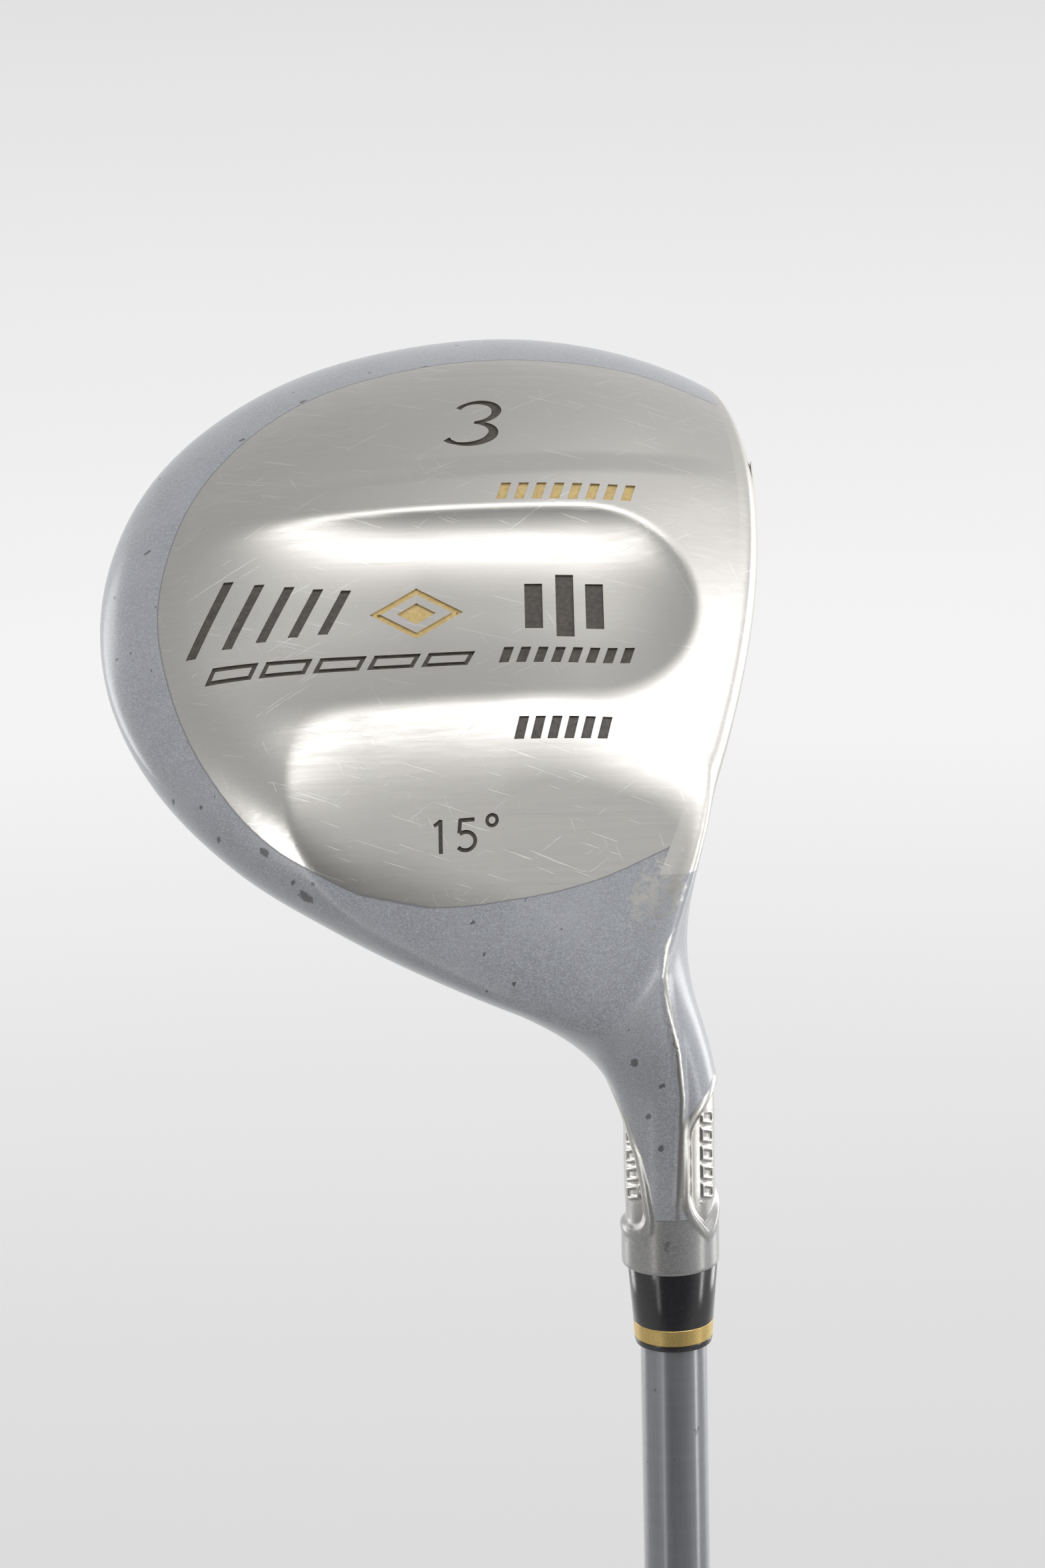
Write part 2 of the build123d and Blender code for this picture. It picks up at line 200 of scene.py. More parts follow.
def ridge_height(x, y, h):
    """The fine ridge that runs down the front of the neck."""
    line = 1 - ramp(np.abs(x - np.interp(h, RIDGE_H, RIDGE_X)), 0, 1.0)
    return 0.3 * line * (y < 0) * ramp(h, 16, 24) * (1 - ramp(h, 56, 60))


def neck_field(f, t, u):
    x, y, h = shaft_place(f, t, u)
    radius = 6.25 + 0.15 * (1 - ramp(h, 56, 60)) + 1.8 * (1 - ramp(h, 20, 50))
    middle = -0.25 - 7.4 * (1 - ramp(h, 18, 47))
    tube = np.hypot(x - middle, y) - radius - ridge_height(x, y, h)
    tube = soft_max(tube, h - HOSEL_TOP, 0.5)
    return soft_max(tube, 8 - h, 6)


def panel_edges(x, y, h):
    """Distance in mm inside the front and rear panels of the neck, negative outside."""
    middle = -0.25 - 7.4 * (1 - ramp(h, 18, 47))
    front = np.arctan2(-y, x - middle) * 6.3
    rear = np.arctan2(-y, middle - x) * 6.3
    top = (h - 42.7 - 0.73 * np.maximum(front - 2.1, 0)) * 0.8
    foot = (61.6 - h - 1.1 * np.maximum(front - 4.4, 0) - 0.6 * np.maximum(4.4 - front, 0)) * 0.7
    front_edge = soft_min(soft_min(7.5 - front, front + 7.0, 1.5), soft_min(foot, top, 1.0), 1.5)
    slant = np.interp(h, [38, 41, 46, 51, 55, 59], [-5.0, -1.0, 2.4, 4.9, 5.9, 6.5])
    rear_edge = soft_min(soft_min(slant - rear, rear + 8.5, 1.5), 61.4 - h, 2.5)
    return front_edge, rear_edge


def rib_height(x, y, h):
    """Raised outlined lozenges down the middle of both panels."""
    across = (np.abs(np.arctan2(-y, np.abs(x + 0.25))) * 6.0 - 3.7) * np.where(x > 0, 1.0, 0.9)
    along = np.mod(h - 45.2 + 0.35 * across, 2.5) - 1.25
    box = np.maximum(np.abs(along) - 0.9, np.abs(across) - 1.25)
    line = 1 - ramp(np.abs(box + 0.2), 0.1, 0.32)
    return 0.28 * line * ramp(h, 45.6, 46.2) * (1 - ramp(h, 57.4, 58.0)) * (y < 0)


def panel_recess(f, t, u):
    """How far the two side panels of the hosel are sunk at a point; negative on the raised lip round them."""
    x, y, h = shaft_place(f, t, u)
    depth, inside = 0, 0
    for edge in panel_edges(x, y, h):
        depth = depth + 0.62 * ramp(edge, -0.1, 0.8) - 0.13 * (1 - ramp(np.abs(edge + 0.5), 0.1, 0.8))
        inside = np.maximum(inside, ramp(edge, 0.3, 0.9))
    return (depth - rib_height(x, y, h) * inside) * ramp(h, 36, 42)


def head_field(p):
    """The whole head with its neck."""
    f, t, u = p[..., 0], p[..., 1], p[..., 2]
    body = soft_max(body_field(f, t, u), face_field(f, t, u), 2.2)
    neck = neck_field(f, t, u) + panel_recess(f, t, u)
    cut = heel_cut(f, t, u)
    return soft_max(soft_min(body, neck, 9.0), cut, 2.0 + 1.5 * ramp(-t, 6, 20))


# ---- Meshes from a field ----


def surface_net(field, low, high, step):
    """Closed quad mesh of the field's zero surface on a regular grid: one vertex in each cell it crosses."""
    axes = [np.arange(a, b + step, step) for a, b in zip(low, high)]
    value = field(np.stack(np.meshgrid(*axes, indexing="ij"), -1))
    inside = value < 0
    cells = np.array(value.shape) - 1
    corners = [(i, j, k) for i in (0, 1) for j in (0, 1) for k in (0, 1)]

    def at(array, corner):
        return array[tuple(slice(c, c + n) for c, n in zip(corner, cells))]

    count = sum(at(inside, c).astype(int) for c in corners)
    active = (count > 0) & (count < 8)
    index = -np.ones(tuple(cells), int)
    index[active] = np.arange(active.sum())
    total, weight = np.zeros((active.sum(), 3)), np.zeros(active.sum())
    for axis in range(3):
        for corner in (c for c in corners if c[axis] == 0):
            far = tuple(1 if k == axis else c for k, c in enumerate(corner))
            a, b = at(value, corner)[active], at(value, far)[active]
            crossed = (a < 0) != (b < 0)
            point = np.tile(np.array(corner, float), (len(a), 1))
            point[:, axis] += np.where(crossed, a / np.where(a == b, 1, a - b), 0)
            total[crossed] += point[crossed]
            weight[crossed] += 1
    points = np.array(low) + (np.stack(np.nonzero(active), -1) + total / weight[:, None]) * step
    quads = []
    for axis in range(3):
        window = [slice(1, n) for n in cells]
        window[axis] = slice(0, cells[axis])
        beyond = list(window)
        beyond[axis] = slice(1, cells[axis] + 1)
        start = inside[tuple(window)]
        edges = np.stack(np.nonzero(start != inside[tuple(beyond)]), -1)
        outward = start[tuple(edges.T)]
        edges = edges + np.array([0 if k == axis else 1 for k in range(3)])

        def cell(db, dc):
            q = edges.copy()
            q[:, (axis + 1) % 3] -= db
            q[:, (axis + 2) % 3] -= dc
            return index[tuple(q.T)]

        quad = np.stack([cell(1, 1), cell(0, 1), cell(0, 0), cell(1, 0)], -1)
        quad[~outward] = quad[~outward][:, ::-1]
        quads.append(quad)
    return points, np.concatenate(quads)


def slope(field, points, step=0.05):
    """The field's gradient at some points."""
    shift = np.eye(3) * step
    return np.stack([(field(points + s) - field(points - s)) / (2 * step) for s in shift], -1)


def settle(field, points, rounds=3):
    """Moves points onto the field's zero surface."""
    for _ in range(rounds):
        g = slope(field, points)
        points = points - g * (field(points) / np.maximum((g * g).sum(-1), 1e-6))[:, None]
    return points


def make_mesh(name, points_mm, faces):
    """A new object from row points in mm, with its faces turned outwards."""
    mesh = bpy.data.meshes.new(name)
    mesh.from_pydata(np.asarray(points_mm, float) * MM, [], [list(map(int, f)) for f in faces])
    mesh.update()
    bm = bmesh.new()
    bm.from_mesh(mesh)
    if bm.calc_volume(signed=True) < 0:
        bmesh.ops.reverse_faces(bm, faces=bm.faces[:])
        bm.to_mesh(mesh)
    bm.free()
    piece = bpy.data.objects.new(name, mesh)
    bpy.context.collection.objects.link(piece)
    return piece


def cleaned(piece):
    """Splits faces of more than four corners and turns every face outwards."""
    bm = bmesh.new()
    bm.from_mesh(piece.data)
    bmesh.ops.triangulate(bm, faces=[face for face in bm.faces if len(face.verts) > 4])
    bmesh.ops.recalc_face_normals(bm, faces=bm.faces)
    bm.to_mesh(piece.data)
    bm.free()
    return piece


def carve(piece, cutter, operation="DIFFERENCE"):
    """Applies one boolean to a closed piece."""
    mod = piece.modifiers.new("carve", "BOOLEAN")
    mod.operation, mod.solver, mod.object = operation, "MANIFOLD", cutter
    made = bpy.data.meshes.new_from_object(piece.evaluated_get(bpy.context.evaluated_depsgraph_get()))
    piece.modifiers.clear()
    old = piece.data
    piece.data = made
    made.name = piece.name
    bpy.data.meshes.remove(old)
    return piece


def copy_of(piece, name):
    twin = bpy.data.objects.new(name, piece.data.copy())
    bpy.context.collection.objects.link(twin)
    return twin


def discard(*pieces):
    for piece in pieces:
        bpy.data.objects.remove(piece, do_unlink=True)


# ---- The head's shell and its three pieces ----

GRID = 0.55
HOSEL_SPLIT = 37.0
SHELL_WALL, FACE_WALL = 2.4, 3.0


def head_shell():
    """The whole head as one hollow closed mesh."""
    points, quads = surface_net(head_field, (-78, -48, -3), (22, 92, 64), GRID)
    points = settle(head_field, points)

    def hollow_field(p):
        h = GROUND_Z - to_row(p)[..., 2]
        steep = np.linalg.norm(slope(head_field, p), axis=-1)
        return soft_max(head_field(p) + SHELL_WALL * steep, h - 30, 1.0)

    inner, inner_quads = surface_net(hollow_field, (-78, -48, -3), (22, 92, 64), 1.5)
    inner_quads = inner_quads[:, ::-1] + len(points)
    return make_mesh("head_shell", to_row(np.concatenate([points, inner])), [*quads, *inner_quads])


def hosel_shell():
    """The neck's upper end on a finer grid, closed below its split from the rest of the head."""

    def closed_field(q):
        h = GROUND_Z - q[..., 2]
        return np.maximum(head_field(to_head(q)), HOSEL_SPLIT - 1.0 - h)

    step = 0.22
    points, quads = surface_net(closed_field, (-18, -13, z_of(68)), (12, 13, z_of(35)), step)
    points = settle(closed_field, points)
    piece = make_mesh("hosel", points, quads)
    keep = cylinder("hosel_keep", 12, 70, HOSEL_SPLIT)
    carve(piece, keep, "INTERSECT")
    discard(keep)
    return piece


def slab(name, corners_low, corners_high):
    """A closed block between two matching rings of head points."""
    n = len(corners_low)
    ring = to_row(np.array([*corners_low, *corners_high], float))
    sides = [(i, (i + 1) % n, (i + 1) % n + n, i + n) for i in range(n)]
    return make_mesh(name, ring, [list(range(n))[::-1], list(range(n, 2 * n)), *sides])


def crown_cutter():
    """Everything above the widest line but the neck."""
    reach = 120
    corners = [(-reach, -reach), (reach, -reach), (reach, reach), (-reach, reach)]
    low = [(f, t, PARTING_HEIGHT + PARTING_SLOPE * f) for f, t in corners]
    block = slab("crown_cutter", low, [(f, t, 90.0) for f, t in corners])
    post = cylinder("neck_post", 17.0, 90, 5)
    carve(block, post)
    discard(post)
    return block


def face_cutter():
    """Everything in front of the face plate's back."""
    u, t = np.meshgrid(np.linspace(-30, 70, 41), np.linspace(-13, 130, 61), indexing="ij")
    f = -(face_field(0.0, t, u) + FACE_WALL) / cos(LOFT)
    near = np.stack([f, t, u], -1).reshape(-1, 3)
    far = near + np.array([60.0, 0, 0])
    i = np.arange(len(near)).reshape(u.shape)
    back = np.stack([i[:-1, :-1], i[:-1, 1:], i[1:, 1:], i[1:, :-1]], -1).reshape(-1, 4)
    rim = [*i[0], *i[1:, -1], *i[-1, -2::-1], *i[-2:0:-1, 0]]
    sides = [(b, a, a + len(near), b + len(near)) for a, b in zip(rim, rim[1:] + rim[:1])]
    faces = [*back, *(back[:, ::-1] + len(near)), *sides]
    block = make_mesh("face_cutter", to_row(np.concatenate([near, far])), faces)
    post = cylinder("neck_post", 11.0, 90, 14)
    carve(block, post)
    discard(post)
    return block


def turned(name, outline, segments=96):
    """A closed turned piece about the shaft axis, from (r, z) points in mm."""
    rings, faces, points = [], [], []
    for r, z in outline:
        if r == 0:
            rings.append([len(points)])
            points.append((0, 0, z))
        else:
            rings.append(list(range(len(points), len(points) + segments)))
            turn = np.arange(segments) / segments * 2 * pi
            points += [(r * cos(a), r * sin(a), z) for a in turn]
    for a, b in zip(rings, rings[1:] + rings[:1]):
        if len(a) == 1 and len(b) == 1:
            continue
        for i in range(segments):
            j = (i + 1) % segments
            if len(a) == 1:
                faces.append((a[0], b[i], b[j]))
            elif len(b) == 1:
                faces.append((a[j], a[i], b[0]))
            else:
                faces.append((a[j], a[i], b[i], b[j]))
    return cleaned(make_mesh(name, points, faces))


def cylinder(name, radius, high, low):
    """A cylinder about the shaft axis between two heights above the ground, in mm."""
    return turned(name, [(0, z_of(high)), (radius, z_of(high)), (radius, z_of(low)), (0, z_of(low))])


# ---- Marks sunk in the sole ----

POCKET, FILL_TOP = 0.55, 0.28


def sole_height(f, t):
    """u of the sole's surface at (f, t)."""
    f, t = np.asarray(f, float), np.asarray(t, float)
    low, high = np.full(f.shape, -4.0), np.full(f.shape, 13.0)
    for _ in range(24):
        middle = (low + high) / 2
        outside = head_field(np.stack([f, t, middle], -1)) > 0
        low, high = np.where(outside, middle, low), np.where(outside, high, middle)
    return high


def densified(loop, spacing=0.7):
    """A loop with points added along its long sides, so that it follows a curved surface."""
    points = []
    for a, b in zip(loop, np.roll(loop, -1, 0)):
        n = max(int(np.ceil(np.hypot(*(b - a)) / spacing)), 1)
        points += [a + (b - a) * k / n for k in range(n)]
    return np.array(points)


def prism(name, loop, top, foot):
    """A closed prism under a loop of (f, t) points, from top to foot mm below the sole's surface."""
    loop = densified(np.array(loop, float))
    u = sole_height(loop[:, 0], loop[:, 1])
    n = len(loop)
    upper = np.column_stack([loop, u + top])
    lower = np.column_stack([loop, u + foot])
    sides = [(i, (i + 1) % n, (i + 1) % n + n, i + n) for i in range(n)]
    ends = [range(n)[::-1], range(n, 2 * n)]
    return cleaned(make_mesh(name, to_row(np.concatenate([upper, lower])), ends + sides))


def stroke(path, widths):
    """The outline of a pen stroke along a path, with its width at each point."""
    path = np.array(path, float)
    along = np.gradient(path, axis=0)
    side = np.column_stack([-along[:, 1], along[:, 0]]) / np.hypot(*along.T)[:, None]
    half = np.asarray(widths, float)[:, None] / 2
    return np.concatenate([path + side * half, (path - side * half)[::-1]])


ARC_POINTS = 28


def arc(cx, cy, rx, ry, start, end, n=ARC_POINTS):
    """Points of an elliptic arc, angles in degrees."""
    a = np.radians(np.linspace(start, end, n))
    return np.column_stack([cx + rx * np.cos(a), cy + ry * np.sin(a)])


def leaning(loop, lean, about=0.0):
    """A loop sheared to the right by lean mm for each mm of height."""
    loop = np.array(loop, float)
    loop[:, 0] += lean * (loop[:, 1] - about)
    return loop


def box_loop(width, height, lean=0.0):
    """A bar whose top leans over."""
    w, h = width / 2, height / 2
    return leaning([(-w, -h), (w, -h), (w, h), (-w, h)], lean)


def ring_loops(loop, hole):
    """A ring as two halves, each one closed loop."""
    n = len(loop) // 2
    halves = []
    for part in (slice(0, n + 1), slice(n, None)):
        outer, inner = list(loop[part]), list(hole[part])
        if part.stop is None:
            outer, inner = outer + [loop[0]], inner + [hole[0]]
        halves.append(np.array(outer + inner[::-1]))
    return halves


ROW_BAR = box_loop(1.25, 3.0, 0.25)


def row_of_bars(middle, across, count, pitch):
    return [ROW_BAR + (middle + (i - (count - 1) / 2) * pitch, across) for i in range(count)]


def numeral_three(at, size):
    """A leaning 3 of two bowls, with thick sides and thin ends."""
    along = np.linspace(0, 1, ARC_POINTS)
    upper_widths = np.interp(along, [0, 0.15, 0.62, 1], [0.09, 0.07, 0.15, 0.05])
    lower_widths = np.interp(along, [0, 0.42, 0.85, 1], [0.05, 0.17, 0.06, 0.11])
    upper = stroke(arc(0, 0.25, 0.3, 0.245, 158, -88), upper_widths)
    lower = stroke(arc(-0.03, -0.25, 0.36, 0.25, 84, -152), lower_widths)
    return [leaning(loop * size, 0.16) + at for loop in (upper, lower)]


def numeral_one(at, size):
    stem = stroke([(0, 0.5), (0, 0), (0, -0.5)], [0.13] * 3)
    flag = stroke([(-0.2, 0.33), (-0.1, 0.39), (0.02, 0.47)], [0.11] * 3)
    return [loop * size + at for loop in (stem, flag)]


def numeral_five(at, size):
    flag = stroke([(-0.24, 0.44), (0, 0.44), (0.25, 0.44)], [0.12] * 3)
    back = stroke([(-0.2, 0.46), (-0.22, 0.26), (-0.24, 0.06)], [0.12] * 3)
    bowl = stroke(arc(-0.04, -0.18, 0.3, 0.27, 128, -142), [0.12] * ARC_POINTS)
    return [loop * size + at for loop in (flag, back, bowl)]


def lozenge(at, width, height):
    return np.array([(-width / 2, 0), (0, -height / 2), (width / 2, 0), (0, height / 2)]) + at


LOFT_AT, LOFT_SIZE = np.array([-28.3, -5.6]), 4.0
EMBLEM_AT = np.array([-31.0, 27.8])
SLASHES = [(-57.5, 12.0), (-53.2, 10.4), (-49.1, 9.2), (-45.2, 8.2), (-41.5, 7.6)]
STRIPE = [-54.6, -47.7, -40.8, -33.9, -27.0]
POSTS = [(-16.0, 8.0), (-12.0, 11.0), (-8.2, 8.0)]

STRIPE_ROW = 19.2
STRIPE_OUTER, STRIPE_HOLE = box_loop(5.9, 2.6, 0.4), box_loop(4.7, 1.3, 0.4)
DEGREE_AT = LOFT_AT + (6.5, 1.5)


def circle(at, radius):
    return arc(0, 0, radius, radius, 0, 345, 24) + at


def stripe_dash(f):
    """One outlined dash of the stripe."""
    return ring_loops(STRIPE_OUTER + (f, STRIPE_ROW), STRIPE_HOLE + (f, STRIPE_ROW))


MARKS = {
    "number_fill": ("number_paint", numeral_three(np.array([-23.3, 60.3]), 8.8)),
    "loft_fill": (
        "loft_mark_paint",
        numeral_one(LOFT_AT, LOFT_SIZE)
        + numeral_five(LOFT_AT + (3.3, 0), LOFT_SIZE)
        + ring_loops(circle(DEGREE_AT, 0.85), circle(DEGREE_AT, 0.42)),
    ),
    "emblem_dark_fill": (
        "emblem_dark_paint",
        [box_loop(1.3, h, 0.4) + (f, 28.4) for f, h in SLASHES]
        + [half for f in STRIPE for half in stripe_dash(f)],
    ),
    "emblem_gold_fill": (
        "emblem_gold_paint",
        ring_loops(lozenge(EMBLEM_AT, 12.0, 9.0), lozenge(EMBLEM_AT, 9.1, 6.8))
        + [lozenge(EMBLEM_AT, 5.0, 3.8)],
    ),
    "post_fill": ("bar_mark_paint", [box_loop(2.3, h) + (f, 28.6) for f, h in POSTS]),
    "dark_row_fill": ("dark_row_paint", row_of_bars(-11.9, 19.6, 8, 2.2) + row_of_bars(-12.6, 7.0, 6, 2.1)),
    "gold_row_fill": ("gold_row_paint", row_of_bars(-11.5, 46.2, 8, 2.3)),
}


def joined(name, pieces):
    """One object from several that don't overlap."""
    bm = bmesh.new()
    for piece in pieces:
        bm.from_mesh(piece.data)
    mesh = bpy.data.meshes.new(name)
    bm.to_mesh(mesh)
    bm.free()
    discard(*pieces)
    whole = bpy.data.objects.new(name, mesh)
    bpy.context.collection.objects.link(whole)
    return whole


def merged(name, loops, top, foot):
    """Prisms under some loops, made one where they overlap."""
    prisms = [prism(f"{name}_{i}", loop, top, foot) for i, loop in enumerate(loops)]
    whole = prisms[0]
    for other in prisms[1:]:
        carve(whole, other, "UNION")
        discard(other)
    whole.name = name
    return whole


# ---- Shading: normals and coordinates taken from the field ----


def read(items, name, width=1, kind=float):
    """One property of every item of a mesh, as an array."""
    values = np.zeros(len(items) * width, kind)
    items.foreach_get(name, values)
    return values.reshape(-1, width) if width > 1 else values


def vertices_in_head(mesh):
    return to_head(read(mesh.vertices, "co", 3) / MM)


def add_head_coordinates(piece):
    """Stores head (f, t, u) in mm on every vertex, for the materials."""
    head = vertices_in_head(piece.data)
    layer = piece.data.attributes.new("head", "FLOAT_VECTOR", "POINT")
    layer.data.foreach_set("vector", head.ravel())
    return head


def add_value(piece, name, values):
    layer = piece.data.attributes.new(name, "FLOAT", "POINT")
    layer.data.foreach_set("value", np.asarray(values, float).ravel())


def field_normals(piece, reach=0.05):
    """Exact smooth normals wherever a face lies within reach of the head's surface; its own elsewhere."""
    mesh = piece.data
    mesh.shade_smooth()
    normal = read(mesh.polygons, "normal", 3)
    vertex = read(mesh.loops, "vertex_index", kind=int)
    totals = read(mesh.polygons, "loop_total", kind=int)
    g = slope(head_field, vertices_in_head(mesh), 0.12)
    g = g / np.maximum(np.linalg.norm(g, axis=1), 1e-9)[:, None]
    origin = to_row(np.zeros(3))
    smooth = to_row(g) - origin
    middle = to_head(read(mesh.polygons, "center", 3) / MM)
    middle_g = slope(head_field, middle, 0.12)
    size = np.maximum(np.linalg.norm(middle_g, axis=1), 1e-9)
    near = np.abs(head_field(middle)) / size < reach
    facing = ((to_row(middle_g / size[:, None]) - origin) * normal).sum(1) > 0.8
    use = np.repeat(near & facing, totals)
    loops = np.where(use[:, None], smooth[vertex], np.repeat(normal, totals, axis=0))
    mesh.normals_split_custom_set(loops.tolist())


# ---- Materials ----


def add_node(tree, kind, inputs=None, **settings):
    """Adds a node to a tree; inputs are values, or sockets to link from."""
    node = tree.nodes.new(kind)
    for key, value in settings.items():
        setattr(node, key, value)
    for key, value in (inputs or {}).items():
        if isinstance(value, bpy.types.NodeSocket):
            tree.links.new(value, node.inputs[key])
        else:
            node.inputs[key].default_value = value
    return node


class Shader:
    """A material's node tree, built one node at a time."""

    def __init__(self, name):
        self.material = bpy.data.materials.new(name)
        self.material.use_nodes = True
        self.tree = self.material.node_tree
        self.tree.nodes.clear()

    def put(self, kind, inputs=None, **settings):
        return add_node(self.tree, kind, inputs, **settings)

    def math(self, operation, a, b=0.0, clamp=False):
        return self.put("ShaderNodeMath", {0: a, 1: b}, operation=operation, use_clamp=clamp).outputs[0]

    def value(self, name):
        return self.put("ShaderNodeAttribute", attribute_name=name).outputs["Fac"]

    def head(self):
        return self.put("ShaderNodeAttribute", attribute_name="head").outputs["Vector"]

    def scaled(self, vector, scale):
        return self.put("ShaderNodeMapping", {"Vector": vector, "Scale": scale}).outputs[0]

    def noise(self, vector, scale=1.0, detail=4.0, roughness=0.5):
        inputs = {"Vector": vector, "Scale": scale, "Detail": detail, "Roughness": roughness}
        return self.put("ShaderNodeTexNoise", inputs).outputs["Fac"]

    def ramp(self, value, low, high, to_low=0.0, to_high=1.0):
        inputs = {"Value": value, "From Min": low, "From Max": high, "To Min": to_low, "To Max": to_high}
        return self.put("ShaderNodeMapRange", inputs).outputs[0]

    def mix(self, factor, a, b):
        node = self.put("ShaderNodeMix", {"Factor": factor}, data_type="RGBA")
        for socket, value in ((node.inputs[6], a), (node.inputs[7], b)):
            if isinstance(value, bpy.types.NodeSocket):
                self.tree.links.new(value, socket)
            else:
                socket.default_value = (*value, 1)
        return node.outputs[2]

    def bump(self, height, strength, distance_mm, normal=None):
        inputs = {"Height": height, "Strength": strength, "Distance": distance_mm * MM}
        if normal is not None:
            inputs["Normal"] = normal
        return self.put("ShaderNodeBump", inputs).outputs[0]

    def surface(self, inputs):
        return self.put("ShaderNodeBsdfPrincipled", inputs).outputs[0]

    def either(self, factor, a, b):
        return self.put("ShaderNodeMixShader", {0: factor, 1: a, 2: b}).outputs[0]

    def finish(self, surface):
        self.put("ShaderNodeOutputMaterial", {"Surface": surface})
        return self.material


def brushed(s, where, base=(0.60, 0.585, 0.56), dark=(0.50, 0.485, 0.46), rough=(0.24, 0.36), grain=0.35):
    """Titanium brushed along the head's f axis."""
    fine = s.noise(s.scaled(where, (0.12, 9.0, 9.0)), 1.0, 6.0, 0.7)
    coarse = s.noise(s.scaled(where, (0.04, 1.6, 1.6)), 1.0, 5.0, 0.6)
    cloud = s.noise(s.scaled(where, (0.05, 0.06, 0.06)), 1.0, 3.0, 0.5)
    streaks = s.put("ShaderNodeMath", {0: fine, 1: 0.6, 2: coarse}, operation="MULTIPLY_ADD").outputs[0]
    tone = s.ramp(s.math("ADD", streaks, s.math("MULTIPLY", cloud, 0.5)), 0.75, 1.45)
    scratch = 0.0
    for turn, threshold in ((0.35, 0.69), (-0.6, 0.71), (1.2, 0.72)):
        turned_place = s.put("ShaderNodeMapping", {"Vector": where, "Rotation": (0, 0, turn)}).outputs[0]
        hair = s.noise(s.scaled(turned_place, (0.09, 3.2, 0.4)), 1.0, 2.0, 0.5)
        scratch = s.math("MAXIMUM", scratch, s.ramp(hair, threshold, threshold + 0.02))
    color = s.mix(tone, dark, base)
    color = s.mix(s.math("MULTIPLY", scratch, 0.3), color, (0.85, 0.84, 0.82))
    normal = s.bump(streaks, grain, 0.012)
    normal = s.bump(scratch, 0.25, -0.02, normal)
    across = s.put("ShaderNodeCombineXYZ", {0: 0.0, 1: sin(LIE), 2: cos(LIE)}).outputs[0]
    return s.surface({
        "Base Color": color,
        "Metallic": 1.0,
        "Roughness": s.ramp(tone, 0, 1, rough[1], rough[0]),
        "Anisotropic": 0.45,
        "Tangent": across,
        "Normal": normal,
    })


# Chips in the paint: (f, t, u) of the middle, length and width in mm, and the turn in degrees
CHIPS = (
    ((-62.3, 5.5, 13.2), 1.1, 0.6, 20),
    ((-56.4, -1.0, 13.0), 0.8, 0.6, 0),
    ((-50.5, -4.8, 11.1), 1.5, 0.7, -40),
    ((-47.0, -8.4, 12.8), 0.7, 0.5, 0),
    ((-45.4, -9.8, 14.0), 2.6, 0.8, -40),
    ((-39.2, -11.9, 11.3), 1.6, 0.6, -35),
    ((-35.9, -14.4, 12.5), 2.2, 0.9, -35),
    ((-32.6, -16.8, 13.9), 1.2, 0.6, -35),
    ((-4.6, -26.8, 27.4), 1.0, 0.7, 0),
    ((-2.9, -29.7, 34.8), 0.7, 0.5, 0),
    ((-1.4, -32.3, 38.1), 0.9, 0.6, 0),
)


def chip_marks(s, where):
    """1 in the paint chips, 0 elsewhere."""
    ragged = s.ramp(s.noise(where, 1.8, 3.0), 0, 1, -0.7, 0.7)
    marks = 0.0
    for middle, length, width, turn in CHIPS:
        aside = s.put("ShaderNodeVectorMath", {0: where, 1: middle}, operation="SUBTRACT").outputs[0]
        local = s.put("ShaderNodeMapping", {"Vector": aside, "Rotation": (0, 0, radians(-turn))}).outputs[0]
        sized = s.scaled(local, (2 / length, 2 / width, 1 / width))
        far = s.put("ShaderNodeVectorMath", {0: sized}, operation="LENGTH").outputs["Value"]
        marks = s.math("MAXIMUM", marks, s.ramp(s.math("ADD", far, ragged), 0.8, 1.1, 1.0, 0.0))
    return marks


def flake_paint(s, where, base=(0.235, 0.245, 0.265), light=(0.34, 0.352, 0.375)):
    """Blue-grey metallic paint with fine flakes, orange peel and small chips."""
    flake = s.put("ShaderNodeTexVoronoi", {"Vector": where, "Scale": 7.0}).outputs["Color"]
    flake = s.put("ShaderNodeSeparateColor", {"Color": flake}).outputs[0]
    cloud = s.noise(s.scaled(where, (0.12, 0.12, 0.12)), 1.0, 4.0)
    color = s.mix(s.ramp(flake, 0.3, 1.0), base, light)
    color = s.mix(s.ramp(cloud, 0.4, 0.75, 0.0, 0.35), color, (0.34, 0.352, 0.375))
    grit = s.noise(where, 2.2, 3.0, 0.6)
    chips = s.noise(s.scaled(where, (0.55, 0.55, 0.55)), 1.0, 2.0, 0.4)
    chip = s.math("MAXIMUM", s.ramp(chips, 0.735, 0.75), chip_marks(s, where))
    color = s.mix(chip, color, (0.10, 0.10, 0.105))
    normal = s.bump(grit, 0.25, 0.03)
    return s.surface({
        "Base Color": color,
        "Metallic": 0.2,
        "Roughness": s.ramp(flake, 0, 1, 0.4, 0.6),
        "Coat Weight": 0.7,
        "Coat Roughness": 0.22,
        "Normal": normal,
    })


